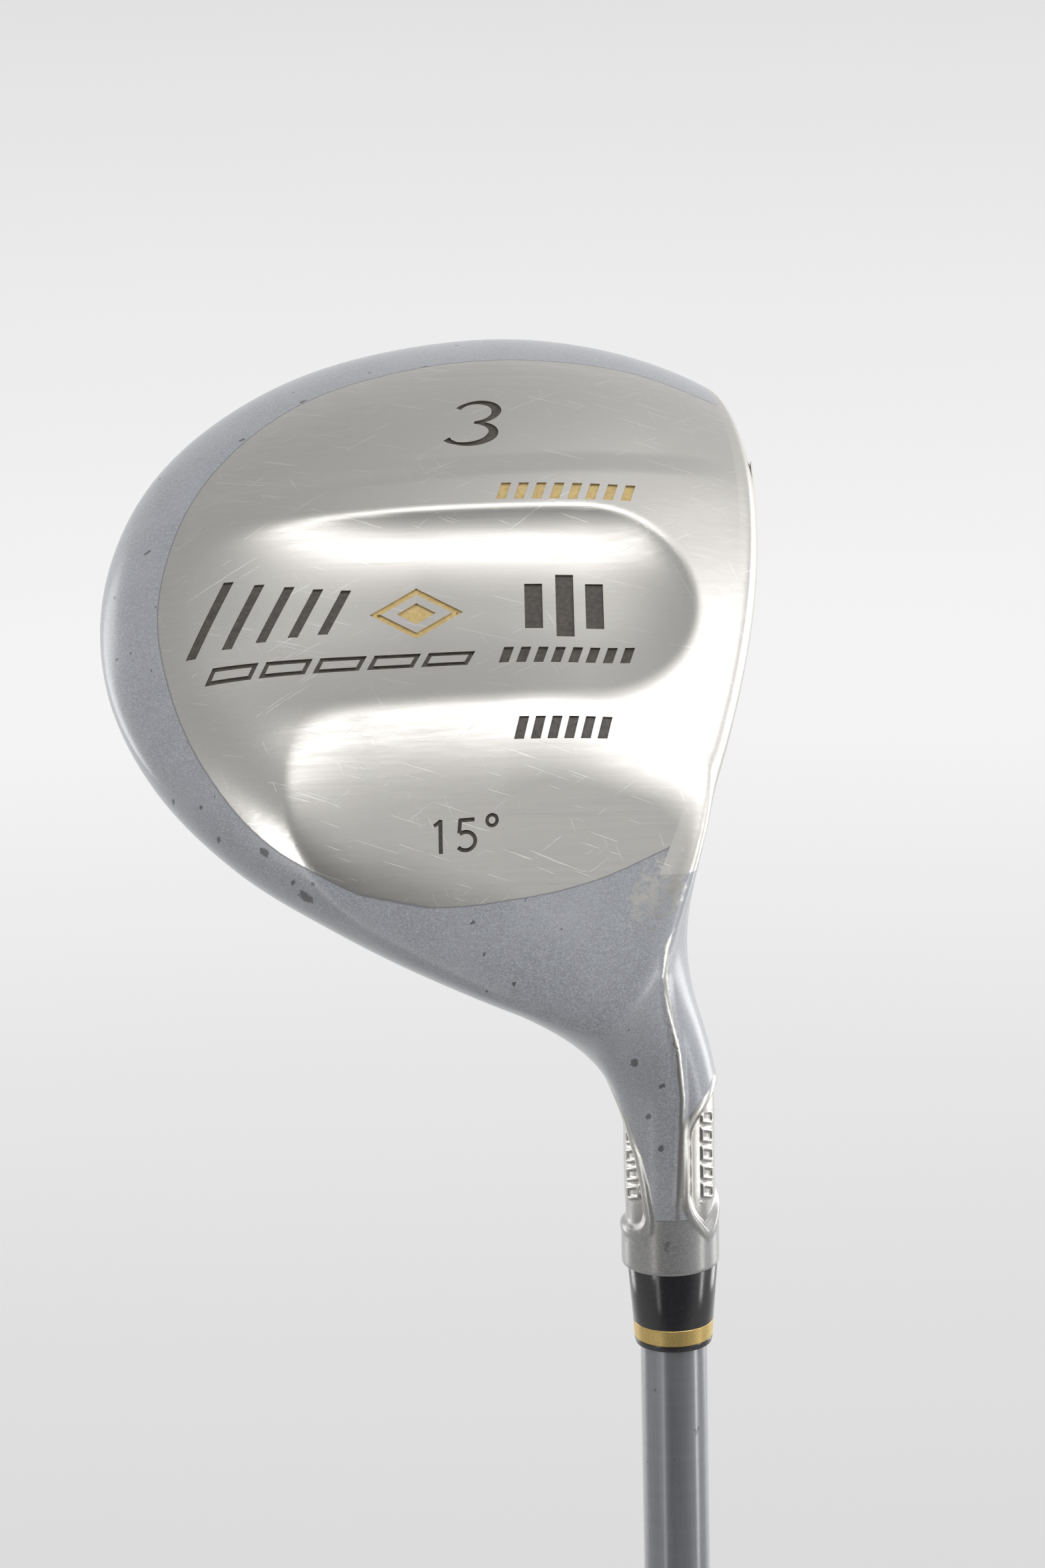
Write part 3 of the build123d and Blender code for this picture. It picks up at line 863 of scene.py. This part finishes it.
def casting_material():
    """Bare brushed metal inside the sole's border, paint outside it, and worn edges between."""
    s = Shader("casting")
    where = s.head()
    border = s.value("border")
    ragged = s.math("ADD", border, s.ramp(s.noise(where, 1.1, 3.0), 0, 1, -0.06, 0.06))
    bare = s.ramp(ragged, -0.03, 0.05)
    wear = s.value("wear")
    worn = s.math("ADD", wear, s.ramp(s.noise(where, 0.9, 6.0, 0.65), 0, 1, -0.45, 0.45))
    worn = s.ramp(worn, 0.45, 0.62)
    height = s.put("ShaderNodeVectorMath", {0: where, 1: (0, -cos(LIE), sin(LIE))}, operation="DOT_PRODUCT")
    collar = s.ramp(height.outputs["Value"], 56.0, 60.0)
    dull = flake_paint(s, where, (0.16, 0.16, 0.162), (0.25, 0.248, 0.242))
    metal = s.either(s.math("MULTIPLY", collar, 0.8), brushed(s, where), dull)
    paint = flake_paint(s, where)
    line = s.ramp(s.math("ABSOLUTE", ragged), 0.0, 0.14, 1.0, 0.0)
    edge = s.surface({"Base Color": (0.10, 0.10, 0.11, 1), "Roughness": 0.6})
    surface = s.either(s.math("MAXIMUM", bare, worn), paint, metal)
    shown = s.math("SUBTRACT", 0.75, s.math("MULTIPLY", worn, 0.75))
    surface = s.either(s.math("MULTIPLY", line, shown), surface, edge)
    return s.finish(surface)


def paint_material():
    s = Shader("head_paint")
    return s.finish(flake_paint(s, s.head()))


def face_material():
    s = Shader("face_metal")
    return s.finish(brushed(s, s.head(), rough=(0.3, 0.42)))


def fill_material(name, color, light, metallic, rough):
    """Paint in an engraved mark: thin, a little dusty and uneven."""
    s = Shader(name)
    where = s.head()
    cloud = s.noise(where, 1.6, 5.0, 0.6)
    speck = s.noise(where, 6.0, 3.0, 0.6)
    tone = s.mix(s.ramp(cloud, 0.35, 0.7), color, light)
    tone = s.mix(s.ramp(speck, 0.62, 0.7, 0.0, 0.5), tone, light)
    return s.finish(s.surface({
        "Base Color": tone,
        "Metallic": metallic,
        "Roughness": s.ramp(speck, 0.3, 0.7, rough, rough + 0.2),
        "Normal": s.bump(speck, 0.5, 0.05),
    }))


def object_mm(s):
    place = s.put("ShaderNodeTexCoord").outputs["Object"]
    return s.scaled(place, (1000, 1000, 1000))


def ferrule_material():
    """Polished black plastic with faint turning lines and a dusty mottle."""
    s = Shader("ferrule_black")
    where = object_mm(s)
    lines = s.noise(s.scaled(where, (0.15, 0.15, 6.0)), 1.0, 3.0)
    dust = s.noise(where, 1.5, 5.0, 0.7)
    return s.finish(s.surface({
        "Base Color": s.mix(s.ramp(dust, 0.5, 0.8), (0.006, 0.006, 0.008), (0.02, 0.021, 0.024)),
        "Roughness": s.ramp(lines, 0.3, 0.7, 0.14, 0.24),
        "Specular IOR Level": 0.8,
        "Normal": s.bump(lines, 0.05, 0.01),
    }))


def gold_material():
    s = Shader("ferrule_gold")
    where = object_mm(s)
    lines = s.noise(s.scaled(where, (0.2, 0.2, 7.0)), 1.0, 3.0)
    speck = s.noise(where, 4.0, 3.0)
    return s.finish(s.surface({
        "Base Color": s.mix(s.ramp(speck, 0.4, 0.7), (0.52, 0.37, 0.13), (0.62, 0.46, 0.18)),
        "Metallic": 0.75,
        "Roughness": s.ramp(lines, 0.3, 0.7, 0.3, 0.42),
        "Normal": s.bump(lines, 0.2, 0.01),
    }))


def shaft_material():
    """Satin gunmetal lacquer over wound fibre: faint cross rings, rubbed streaks and small nicks."""
    s = Shader("shaft_paint")
    where = object_mm(s)
    rings = s.noise(s.scaled(where, (0.02, 0.02, 0.9)), 1.0, 3.0, 0.6)
    rub = s.noise(s.scaled(where, (0.8, 0.8, 0.04)), 1.0, 5.0, 0.6)
    nick = s.ramp(s.noise(s.scaled(where, (0.7, 0.7, 0.5)), 1.0, 2.0), 0.74, 0.76)
    mottle = s.math("ADD", s.ramp(rings, 0.3, 0.8, 0.0, 0.4), s.ramp(rub, 0.3, 0.7, 0.0, 0.6))
    tone = s.mix(mottle, (0.19, 0.196, 0.210), (0.26, 0.266, 0.282))
    tone = s.mix(s.math("MULTIPLY", nick, 0.7), tone, (0.06, 0.06, 0.065))
    return s.finish(s.surface({
        "Base Color": tone,
        "Metallic": 0.6,
        "Roughness": s.ramp(rub, 0.3, 0.7, 0.24, 0.36),
        "Coat Weight": 0.8,
        "Coat Roughness": 0.16,
        "Normal": s.bump(rings, 0.05, 0.02),
    }))


def rubber_material():
    s = Shader("grip_rubber")
    where = object_mm(s)
    grain = s.noise(where, 2.5, 6.0, 0.7)
    wear = s.noise(s.scaled(where, (0.05, 0.05, 0.02)), 1.0, 4.0)
    return s.finish(s.surface({
        "Base Color": s.mix(s.ramp(wear, 0.35, 0.7), (0.018, 0.018, 0.02), (0.045, 0.045, 0.048)),
        "Roughness": s.ramp(grain, 0.3, 0.7, 0.62, 0.85),
        "Sheen Weight": 0.15,
        "Normal": s.bump(grain, 0.5, 0.08),
    }))


def plain_material(name, color, light, metallic, rough, scale=1.5):
    """A hidden piece's finish: two tones, with grain in its roughness and height."""
    s = Shader(name)
    grain = s.noise(object_mm(s), scale, 5.0, 0.6)
    return s.finish(s.surface({
        "Base Color": s.mix(s.ramp(grain, 0.35, 0.7), color, light),
        "Metallic": metallic,
        "Roughness": s.ramp(grain, 0.3, 0.7, rough, rough + 0.15),
        "Normal": s.bump(grain, 0.3, 0.05),
    }))


def dress(piece, material):
    piece.data.materials.clear()
    piece.data.materials.append(material)
    return piece


def place(piece, slot, *nodes):
    """Puts a finished piece on the frame."""
    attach(piece, "root")
    if nodes:
        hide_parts(*nodes)
    return piece


# ---- Paint border and wear on the casting ----

BORDER = [
    (36, 30), (32, 50), (16, 67.5), (8, 69.5), (-1, 73.3), (-15, 75.2), (-33, 73.2), (-46, 67.6),
    (-57, 55.6), (-63, 41), (-64.3, 30), (-62.8, 19.3), (-58, 6.3), (-50.4, -3.9), (-38.6, -11.3),
    (-33, -13.1), (-27, -13.8), (-21, -13.7), (-14.3, -12.8), (-8, -11.2), (-1, -8.4), (5, -6.2),
    (18, -4), (28, 6),
]


def closed_curve_radius(points, centre, angle):
    """Radius of a smooth closed curve through some points, at some angles about a centre."""
    ring = np.array(points, float) - centre
    order = np.argsort(np.arctan2(ring[:, 1], ring[:, 0]))
    turn = np.arctan2(ring[order, 1], ring[order, 0])
    radius = np.hypot(*ring[order].T)
    turns = np.concatenate([turn - 2 * pi, turn, turn + 2 * pi])
    radii = np.tile(radius, 3)
    x = np.mod(angle + pi, 2 * pi) - pi
    k = np.clip(np.searchsorted(turns, x) - 1, 1, len(turns) - 3)
    s = (x - turns[k]) / (turns[k + 1] - turns[k])
    m0 = (radii[k + 1] - radii[k - 1]) / (turns[k + 1] - turns[k - 1]) * (turns[k + 1] - turns[k])
    m1 = (radii[k + 2] - radii[k]) / (turns[k + 2] - turns[k]) * (turns[k + 1] - turns[k])
    return (
        (2 * s**3 - 3 * s**2 + 1) * radii[k]
        + (s**3 - 2 * s**2 + s) * m0
        + (3 * s**2 - 2 * s**3) * radii[k + 1]
        + (s**3 - s**2) * m1
    )


def border_distance(head):
    """mm inside the bare part of the sole, the hosel's panels or its collar: positive on bare metal."""
    d = head[:, :2] - BODY_CENTRE
    inside = closed_curve_radius(BORDER, BODY_CENTRE, np.arctan2(d[:, 1], d[:, 0])) - np.hypot(*d.T)
    inside = np.minimum(inside, 12.0 - head[:, 2] + 0.5 * np.maximum(head[:, 1], 0))
    x, y, h = shaft_place(*head.T)
    front, rear = panel_edges(x, y, h)
    panels = np.where(h > 40, np.maximum(front, rear), -5.0)
    return np.maximum(np.maximum(inside, h - 59.4), panels + 0.1)


def wear_amount(head):
    """0 where the paint is sound, 1 where it is rubbed away."""
    x, y, h = shaft_place(*head.T)
    front, rear = panel_edges(x, y, h)
    front_rim = 1 - ramp(np.abs(front + 0.5), 0.2, 0.9)
    rear_rim = 1 - ramp(np.abs(rear + 0.6), 0.3, 1.2)
    rims = np.maximum(front_rim, rear_rim) * ramp(h, 37, 43)
    ridge = 1 - ramp(np.abs(x - np.interp(h, RIDGE_H, RIDGE_X)), 0.1, 0.7)
    ridge = ridge * ramp(h, 15, 24) * (y < 0) * 0.8
    f, t, u = head.T
    lead = np.abs(face_field(f, t, u) + 0.6)
    leading = (1 - ramp(lead, 0.3, 1.0)) * ramp(t, -16, -12) * (1 - ramp(u, 20, 26)) * 0.8
    heel = (1 - ramp(np.abs(face_field(f, t, u) + 2.0), 2.0, 7.0)) * (1 - ramp(np.abs(t + 14), 3, 10))
    heel = heel * 0.55 * (1 - ramp(u, 10, 18))
    return np.maximum(np.maximum(rims, ridge), np.maximum(leading, heel))


# ---- Assembly ----

BORE_RADIUS, BORE_FLOOR = 4.45, 40.0
SCORE_LINES = ((8.0, 19.0), (12.5, 23.0), (17.0, 25.0), (21.5, 25.0), (26.0, 22.0))
SCORE_MIDDLE, SCORE_WIDTH = 38.0, 0.7


def score_bar(name, u, half_length, out, into):
    """A bar along one score line, from `out` mm in front of the face to `into` mm behind it."""
    stations = SCORE_MIDDLE + np.linspace(-half_length, half_length, 25)
    points, faces = [], []
    for t in stations:
        for du, d in ((-0.5, out), (0.5, out), (0.5, -into), (-0.5, -into)):
            height = u + du * SCORE_WIDTH
            surface = -face_field(np.array(0.0), t, height) / cos(LOFT)
            points.append((surface + d / cos(LOFT), t, height))
    for i in range(len(stations) - 1):
        a = 4 * i
        faces += [(a + k, a + (k + 1) % 4, a + (k + 1) % 4 + 4, a + k + 4) for k in range(4)]
    faces += [(3, 2, 1, 0), tuple(len(points) - 4 + k for k in range(4))]
    return cleaned(make_mesh(name, to_row(np.array(points)), faces))


def score_bars(name, out, into):
    bars = [score_bar(f"{name}_{i}", u, half, out, into) for i, (u, half) in enumerate(SCORE_LINES)]
    return joined(name, bars)


def build_head():
    """The face, crown, casting and every paint fill, each its own piece."""
    shell, hosel = head_shell(), hosel_shell()
    bore = cylinder("bore", BORE_RADIUS, 70, BORE_FLOOR)
    carve(hosel, bore)
    top = cylinder("hosel_gap", 14, 70, HOSEL_SPLIT)
    carve(shell, top)
    discard(bore, top)
    front, above = face_cutter(), crown_cutter()
    face = carve(copy_of(shell, "face"), front, "INTERSECT")
    carve(shell, front)
    crown = carve(copy_of(shell, "crown"), above, "INTERSECT")
    casting = carve(copy_of(shell, "sole_and_neck"), above)
    discard(shell, front, above)
    for piece_name, (node, loops) in MARKS.items():
        pocket = merged(f"{piece_name}_pocket", loops, -1.5, POCKET)
        carve(casting, pocket)
        discard(pocket)
        fill = merged(piece_name, loops, FILL_TOP, POCKET + 0.02)
        yield fill, node
    grooves = score_bars("score_grooves", 2.0, 0.4)
    carve(face, grooves)
    discard(grooves)
    yield score_bars("score_fill", -0.25, 0.43), "score_line_paint"
    yield face, "face_plate"
    yield crown, "crown_shell"
    yield casting, "head_casting"
    yield hosel, "head_casting"


def smooth_turned(piece, angle=30):
    piece.data.shade_smooth()
    piece.data.set_sharp_from_angle(angle=radians(angle))
    return piece


HEAD_SLOTS = {
    "number_fill": "dark_fill", "loft_fill": "dark_fill", "emblem_dark_fill": "dark_fill",
    "emblem_gold_fill": "gold_fill", "post_fill": "dark_fill", "dark_row_fill": "dark_fill",
    "gold_row_fill": "gold_fill", "score_fill": "white_fill", "face": "face_titanium",
    "crown": "head_paint", "sole_and_neck": "bare_titanium", "hosel": "bare_titanium",
}
dark = fill_material("dark_fill", (0.030, 0.026, 0.024), (0.075, 0.062, 0.050), 0.0, 0.35)
gold = fill_material("gold_fill", (0.46, 0.33, 0.13), (0.60, 0.46, 0.22), 0.5, 0.35)
white = fill_material("white_fill", (0.62, 0.61, 0.58), (0.80, 0.79, 0.76), 0.0, 0.5)
looks = {
    "dark_fill": dark, "gold_fill": gold, "white_fill": white,
    "face_titanium": face_material(), "head_paint": paint_material(), "bare_titanium": casting_material(),
}
for piece, node in build_head():
    head_points = add_head_coordinates(piece)
    slot_name = HEAD_SLOTS[piece.name]
    if piece.name in ("sole_and_neck", "hosel"):
        add_value(piece, "border", border_distance(head_points))
        add_value(piece, "wear", wear_amount(head_points))
    if piece.name in ("face", "crown", "sole_and_neck", "hosel"):
        field_normals(piece)
    dress(piece, looks[slot_name])
    place(piece, slot_name, node)


# ---- Ferrule ----

FERRULE_Z = z_of(HOSEL_TOP)
COLLAR_Z, BAND_Z, LIP_Z = FERRULE_Z - 7.8, FERRULE_Z - 10.0, FERRULE_Z - 10.8
SPIGOT, TIP = 4.65, 4.3


def edged(r0, z0, r1, z1, bevel=0.12):
    """The outside of a ring from (r0, z0) to (r1, z1) with small bevels at both ends."""
    start = [(r0 - bevel, z0), (r0 - 0.03, z0 + 0.03), (r0, z0 + bevel)]
    return start + [(r1, z1 - bevel), (r1 - 0.03, z1 - 0.03), (r1 - bevel, z1)]


ferrule_black, ferrule_gold = ferrule_material(), gold_material()
collar_edge = edged(5.15, COLLAR_Z, 5.75, FERRULE_Z)
band_edge = edged(5.0, BAND_Z, 5.15, COLLAR_Z, 0.06)
lip_edge = edged(4.9, LIP_Z, 5.0, BAND_Z, 0.1)
collar_bore = [(TIP, FERRULE_Z), (TIP, LIP_Z), (SPIGOT, LIP_Z), (SPIGOT, COLLAR_Z)]
collar = turned("ferrule_body", collar_bore + collar_edge)
band = turned("ferrule_band", [(SPIGOT, COLLAR_Z), (SPIGOT, BAND_Z), *band_edge])
lip = turned("ferrule_lip", [(SPIGOT, BAND_Z), (SPIGOT, LIP_Z), *lip_edge])
place(dress(smooth_turned(collar), ferrule_black), "ferrule_black", "ferrule_collar")
place(dress(smooth_turned(band), ferrule_gold), "ferrule_gold", "ferrule_gold_band")
place(dress(smooth_turned(lip), ferrule_black), "ferrule_black", "ferrule_lip_ring")


# ---- Shaft and grip ----

TAPER_Z, TIP_Z, BUTT_Z, FLOOR_Z = 975.5, 1050.5, 200.0, 6.0
BUTT_RADIUS, BUTT_BORE, TIP_BORE = 7.62, 6.75, 2.3
shaft = turned("shaft_tube", [
    (BUTT_BORE, FLOOR_Z), (BUTT_RADIUS, FLOOR_Z), (BUTT_RADIUS, BUTT_Z), (TIP, TAPER_Z), (TIP, TIP_Z),
    (TIP_BORE, TIP_Z), (TIP_BORE, TAPER_Z), (BUTT_BORE, BUTT_Z)])
place(dress(smooth_turned(shaft), shaft_material()), "graphite", "shaft")

GRIP_END, GRIP_FOOT = 267.0, 9.0
TAPE = 0.25


def grip_radius(z):
    return np.interp(z, [6, 9, 60, 266, 267], [12.9, 12.9, 11.4, 8.9, 8.3])


def grip_pattern(z, turn):
    """Depth in mm of the moulded grip pattern: crossed slots in three fields between plain bands."""
    girth = turn * 10.0
    field = np.zeros_like(z)
    for low, high in ((22, 96), (104, 178), (186, 250)):
        field = np.maximum(field, ramp(z, low, low + 1.2) * (1 - ramp(z, high - 1.2, high)))
    back = ramp(np.abs(np.mod(turn / (2 * pi) + 0.5, 1) - 0.5), 0.035, 0.05)
    n = 11
    one = np.abs(np.mod(turn * n / (2 * pi) + z / 6.4, 1) - 0.5)
    two = np.abs(np.mod(turn * n / (2 * pi) - z / 6.4, 1) - 0.5)
    slots = np.maximum(1 - ramp(one, 0.06, 0.13), 1 - ramp(two, 0.06, 0.13))
    bands = np.zeros_like(z)
    for middle in (18.0, 100.0, 182.0, 254.0):
        bands = np.maximum(bands, 1 - ramp(np.abs(z - middle), 0.5, 0.9))
    return 0.4 * slots * field * back + 0.35 * bands


def grip_mesh():
    segments, rows = 176, 480
    z = np.linspace(GRIP_FOOT, GRIP_END - 1, rows)
    turn = np.arange(segments) / segments * 2 * pi
    zz, tt = np.meshgrid(z, turn, indexing="ij")
    r = grip_radius(zz) - grip_pattern(zz, tt)
    outer = np.stack([r * np.cos(tt), r * np.sin(tt), zz], -1).reshape(-1, 3)
    index = np.arange(rows * segments).reshape(rows, segments)
    shifted = np.roll(index, -1, 1)
    faces = np.stack([index[:-1], shifted[:-1], shifted[1:], index[1:]], -1).reshape(-1, 4).tolist()
    inner_mouth = BUTT_RADIUS + (TIP - BUTT_RADIUS) * (GRIP_END - BUTT_Z) / (TAPER_Z - BUTT_Z) + TAPE
    tail = [
        (8.75, 266.5), (8.5, 266.85), (8.2, GRIP_END), (inner_mouth, GRIP_END),
        (BUTT_RADIUS + TAPE, BUTT_Z), (BUTT_RADIUS + TAPE, FLOOR_Z), (12.9, FLOOR_Z),
    ]
    points = [outer]
    last = index[-1]
    for rad, height in tail:
        ring = np.column_stack([rad * np.cos(turn), rad * np.sin(turn), np.full(segments, height)])
        start = sum(len(p) for p in points)
        now = np.arange(start, start + segments)
        faces += np.stack([last, np.roll(last, -1), np.roll(now, -1), now], -1).tolist()
        points.append(ring)
        last = now
    faces += np.stack([last, np.roll(last, -1), np.roll(index[0], -1), index[0]], -1).tolist()
    return make_mesh("grip", np.concatenate(points), faces)


rubber = rubber_material()
grip = smooth_turned(grip_mesh(), 50)
place(dress(grip, rubber), "grip_rubber", "grip_sleeve")

CAP_RADIUS, CAP_TOP, VENT = 13.8, 9.0, 1.4
cap = turned("grip_butt_cap", [
    (VENT, FLOOR_Z), (VENT, 0.25), (VENT + 0.25, 0), (6.0, 0), (6.15, 0.3), (6.75, 0.3), (6.9, 0),
    (12.3, 0), (12.88, 0.12), (13.36, 0.44), (13.68, 0.92), (CAP_RADIUS, 1.5), (CAP_RADIUS, 8.6),
    (13.7, 8.88), (13.45, CAP_TOP), (12.9, CAP_TOP), (12.9, FLOOR_Z),
], 128)
place(dress(smooth_turned(cap), rubber), "grip_rubber", "grip_cap")

hidden = {
    "rattle_glue": plain_material("tacky_glue", (0.50, 0.36, 0.12), (0.66, 0.52, 0.24), 0.0, 0.3),
    "tip_weight": plain_material("weight_brass", (0.46, 0.32, 0.10), (0.58, 0.42, 0.16), 1.0, 0.3),
    "shaft_epoxy": plain_material("epoxy", (0.30, 0.25, 0.15), (0.40, 0.35, 0.22), 0.0, 0.35),
    "grip_tape": plain_material("tape", (0.58, 0.53, 0.38), (0.70, 0.66, 0.52), 0.0, 0.75, 0.8),
}
for node, material in hidden.items():
    for place_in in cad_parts[node].material_slots:
        place_in.link = "OBJECT"
        place_in.material = material


# ---- Floor, light and camera ----


def floor_material():
    s = Shader("studio_floor")
    where = s.put("ShaderNodeTexCoord").outputs["Object"]
    far = s.put("ShaderNodeVectorMath", {0: where}, operation="LENGTH").outputs["Value"]
    mottle = s.noise(where, 3.0, 4.0)
    # Painted light: the floor's tone is painted shade within about 1.2 m of the head, where the lamps' light
    # pools, and it is brightest in a ring 2.1 to 3.7 m out, a little darker again beyond. It also glows with
    # a weak emission of that tone.
    tone = s.mix(s.ramp(far, 1.2, 2.1), (0.42, 0.42, 0.42), (0.60, 0.60, 0.60))
    tone = s.mix(s.ramp(far, 2.1, 3.7), tone, (0.90, 0.90, 0.90))
    tone = s.mix(s.ramp(far, 3.9, 6.5), tone, (0.75, 0.75, 0.76))
    tone = s.mix(s.ramp(mottle, 0.3, 0.7, 0.0, 0.03), tone, (0.7, 0.7, 0.7))
    return s.finish(s.surface({
        "Base Color": tone,
        "Roughness": 0.9,
        "Emission Color": tone,
        "Emission Strength": 0.2,
    }))


bpy.ops.mesh.primitive_circle_add(vertices=96, radius=60, fill_type="NGON", location=(0, 0, 0))
floor = bpy.context.object
floor.name = "floor"
floor.visible_glossy = False
dress(floor, floor_material())
floor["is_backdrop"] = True


def world_light():
    """A pale studio all round: bright overhead and behind, darker in front and below."""
    world = bpy.data.worlds.new("studio")
    bpy.context.scene.world = world
    world.use_nodes = True
    tree = world.node_tree
    tree.nodes.clear()

    ray = add_node(tree, "ShaderNodeTexCoord").outputs["Generated"]

    def patch(direction, inner, outer, gain):
        """gain within `inner` degrees of a direction, falling to 0 at `outer` degrees."""
        axis = Vector(direction).normalized()
        toward = add_node(tree, "ShaderNodeVectorMath", {0: ray, 1: axis}, operation="DOT_PRODUCT")
        ranges = {"From Min": cos(radians(outer)), "From Max": cos(radians(inner)), "To Max": gain}
        ranges["Value"] = toward.outputs["Value"]
        return add_node(tree, "ShaderNodeMapRange", ranges, interpolation_type="SMOOTHSTEP").outputs[0]

    level = WORLD_BASE
    for light in WORLD_PATCHES:
        level = add_node(tree, "ShaderNodeMath", {0: level, 1: patch(*light)}, operation="ADD").outputs[0]
    level = add_node(tree, "ShaderNodeMath", {0: level, 1: WORLD_FLOOR}, operation="MAXIMUM").outputs[0]
    background = add_node(tree, "ShaderNodeBackground", {"Color": (1, 1, 1, 1), "Strength": level})
    add_node(tree, "ShaderNodeOutputWorld", {"Surface": background.outputs[0]})


# direction, degrees at full strength, degrees where it ends, gain
WORLD_BASE, WORLD_FLOOR = 0.55, 0.1
WORLD_PATCHES = [
    ((0, -1, -0.1), 30, 65, -0.36),
    ((0, 1, -0.1), 25, 65, 0.40),
    ((1, 0.0, 0.6), 15, 60, 0.30),
    ((0.5, -0.1, 1), 10, 40, 0.75),
]


def softbox(name, azimuth, elevation, distance, width, height, radiance, about=(0.0, 0.03, 1.08)):
    """A rectangular light aimed at the head. Azimuth 0 is the camera's side, 90 is +X."""
    a, e = radians(azimuth), radians(elevation)
    out = Vector((sin(a) * cos(e), -cos(a) * cos(e), sin(e)))
    lamp = bpy.data.lights.new(name, "AREA")
    lamp.shape, lamp.size, lamp.size_y = "RECTANGLE", width, height
    lamp.energy = radiance * pi * width * height
    made = bpy.data.objects.new(name, lamp)
    bpy.context.collection.objects.link(made)
    made.location = Vector(about) + out * distance
    made.rotation_mode = "QUATERNION"
    made.rotation_quaternion = out.to_track_quat("Z", "Y")
    return made


# name, azimuth, elevation, distance, width, height, radiance
SOFTBOXES = (
    ("key", 14, 70, 1.6, 1.7, 0.6, 2.5),
    ("right_top", 68, 46, 1.6, 0.8, 1.0, 1.6),
    ("strip_left", -48, 8, 1.6, 0.20, 1.1, 6.0),
    ("strip_right", 78, -2, 1.6, 0.20, 1.4, 6.0),
    ("rim_left", -125, 2, 1.8, 0.6, 1.6, 3.5),
    ("rim_right", 125, 2, 1.8, 0.6, 1.6, 4.5),
    ("line_left", -40, -14, 1.6, 0.20, 1.0, 1.8),
)

world_light()
for lamp_row in SOFTBOXES:
    softbox(*lamp_row)

CAMERA_TILT, CAMERA_ROLL = radians(17.0), radians(1.2)
CAMERA_DISTANCE, CAMERA_LENS = 0.900, 165.3
toward = Vector((0, -cos(CAMERA_TILT), sin(CAMERA_TILT)))
right = Vector((1, 0, 0))
above = toward.cross(right)
right, above = (
    right * cos(CAMERA_ROLL) - above * sin(CAMERA_ROLL),
    right * sin(CAMERA_ROLL) + above * cos(CAMERA_ROLL),
)
camera = bpy.data.objects.new("camera", bpy.data.cameras.new("camera"))
bpy.context.collection.objects.link(camera)
camera.data.lens, camera.data.sensor_width, camera.data.clip_start = CAMERA_LENS, 36, 0.01
camera.data.clip_end = 200
stand = Vector((0, 0, GROUND_Z * MM)) + toward * CAMERA_DISTANCE - right * 0.01783 - above * 0.00325
camera.matrix_world = Matrix.Translation(stand) @ Matrix((right, above, toward)).transposed().to_4x4()
bpy.context.scene.camera = camera
bpy.context.scene.view_settings.view_transform = "Standard"

visual_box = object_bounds()
[[list(corner) for corner in box] for box in (cad_box, visual_box)]
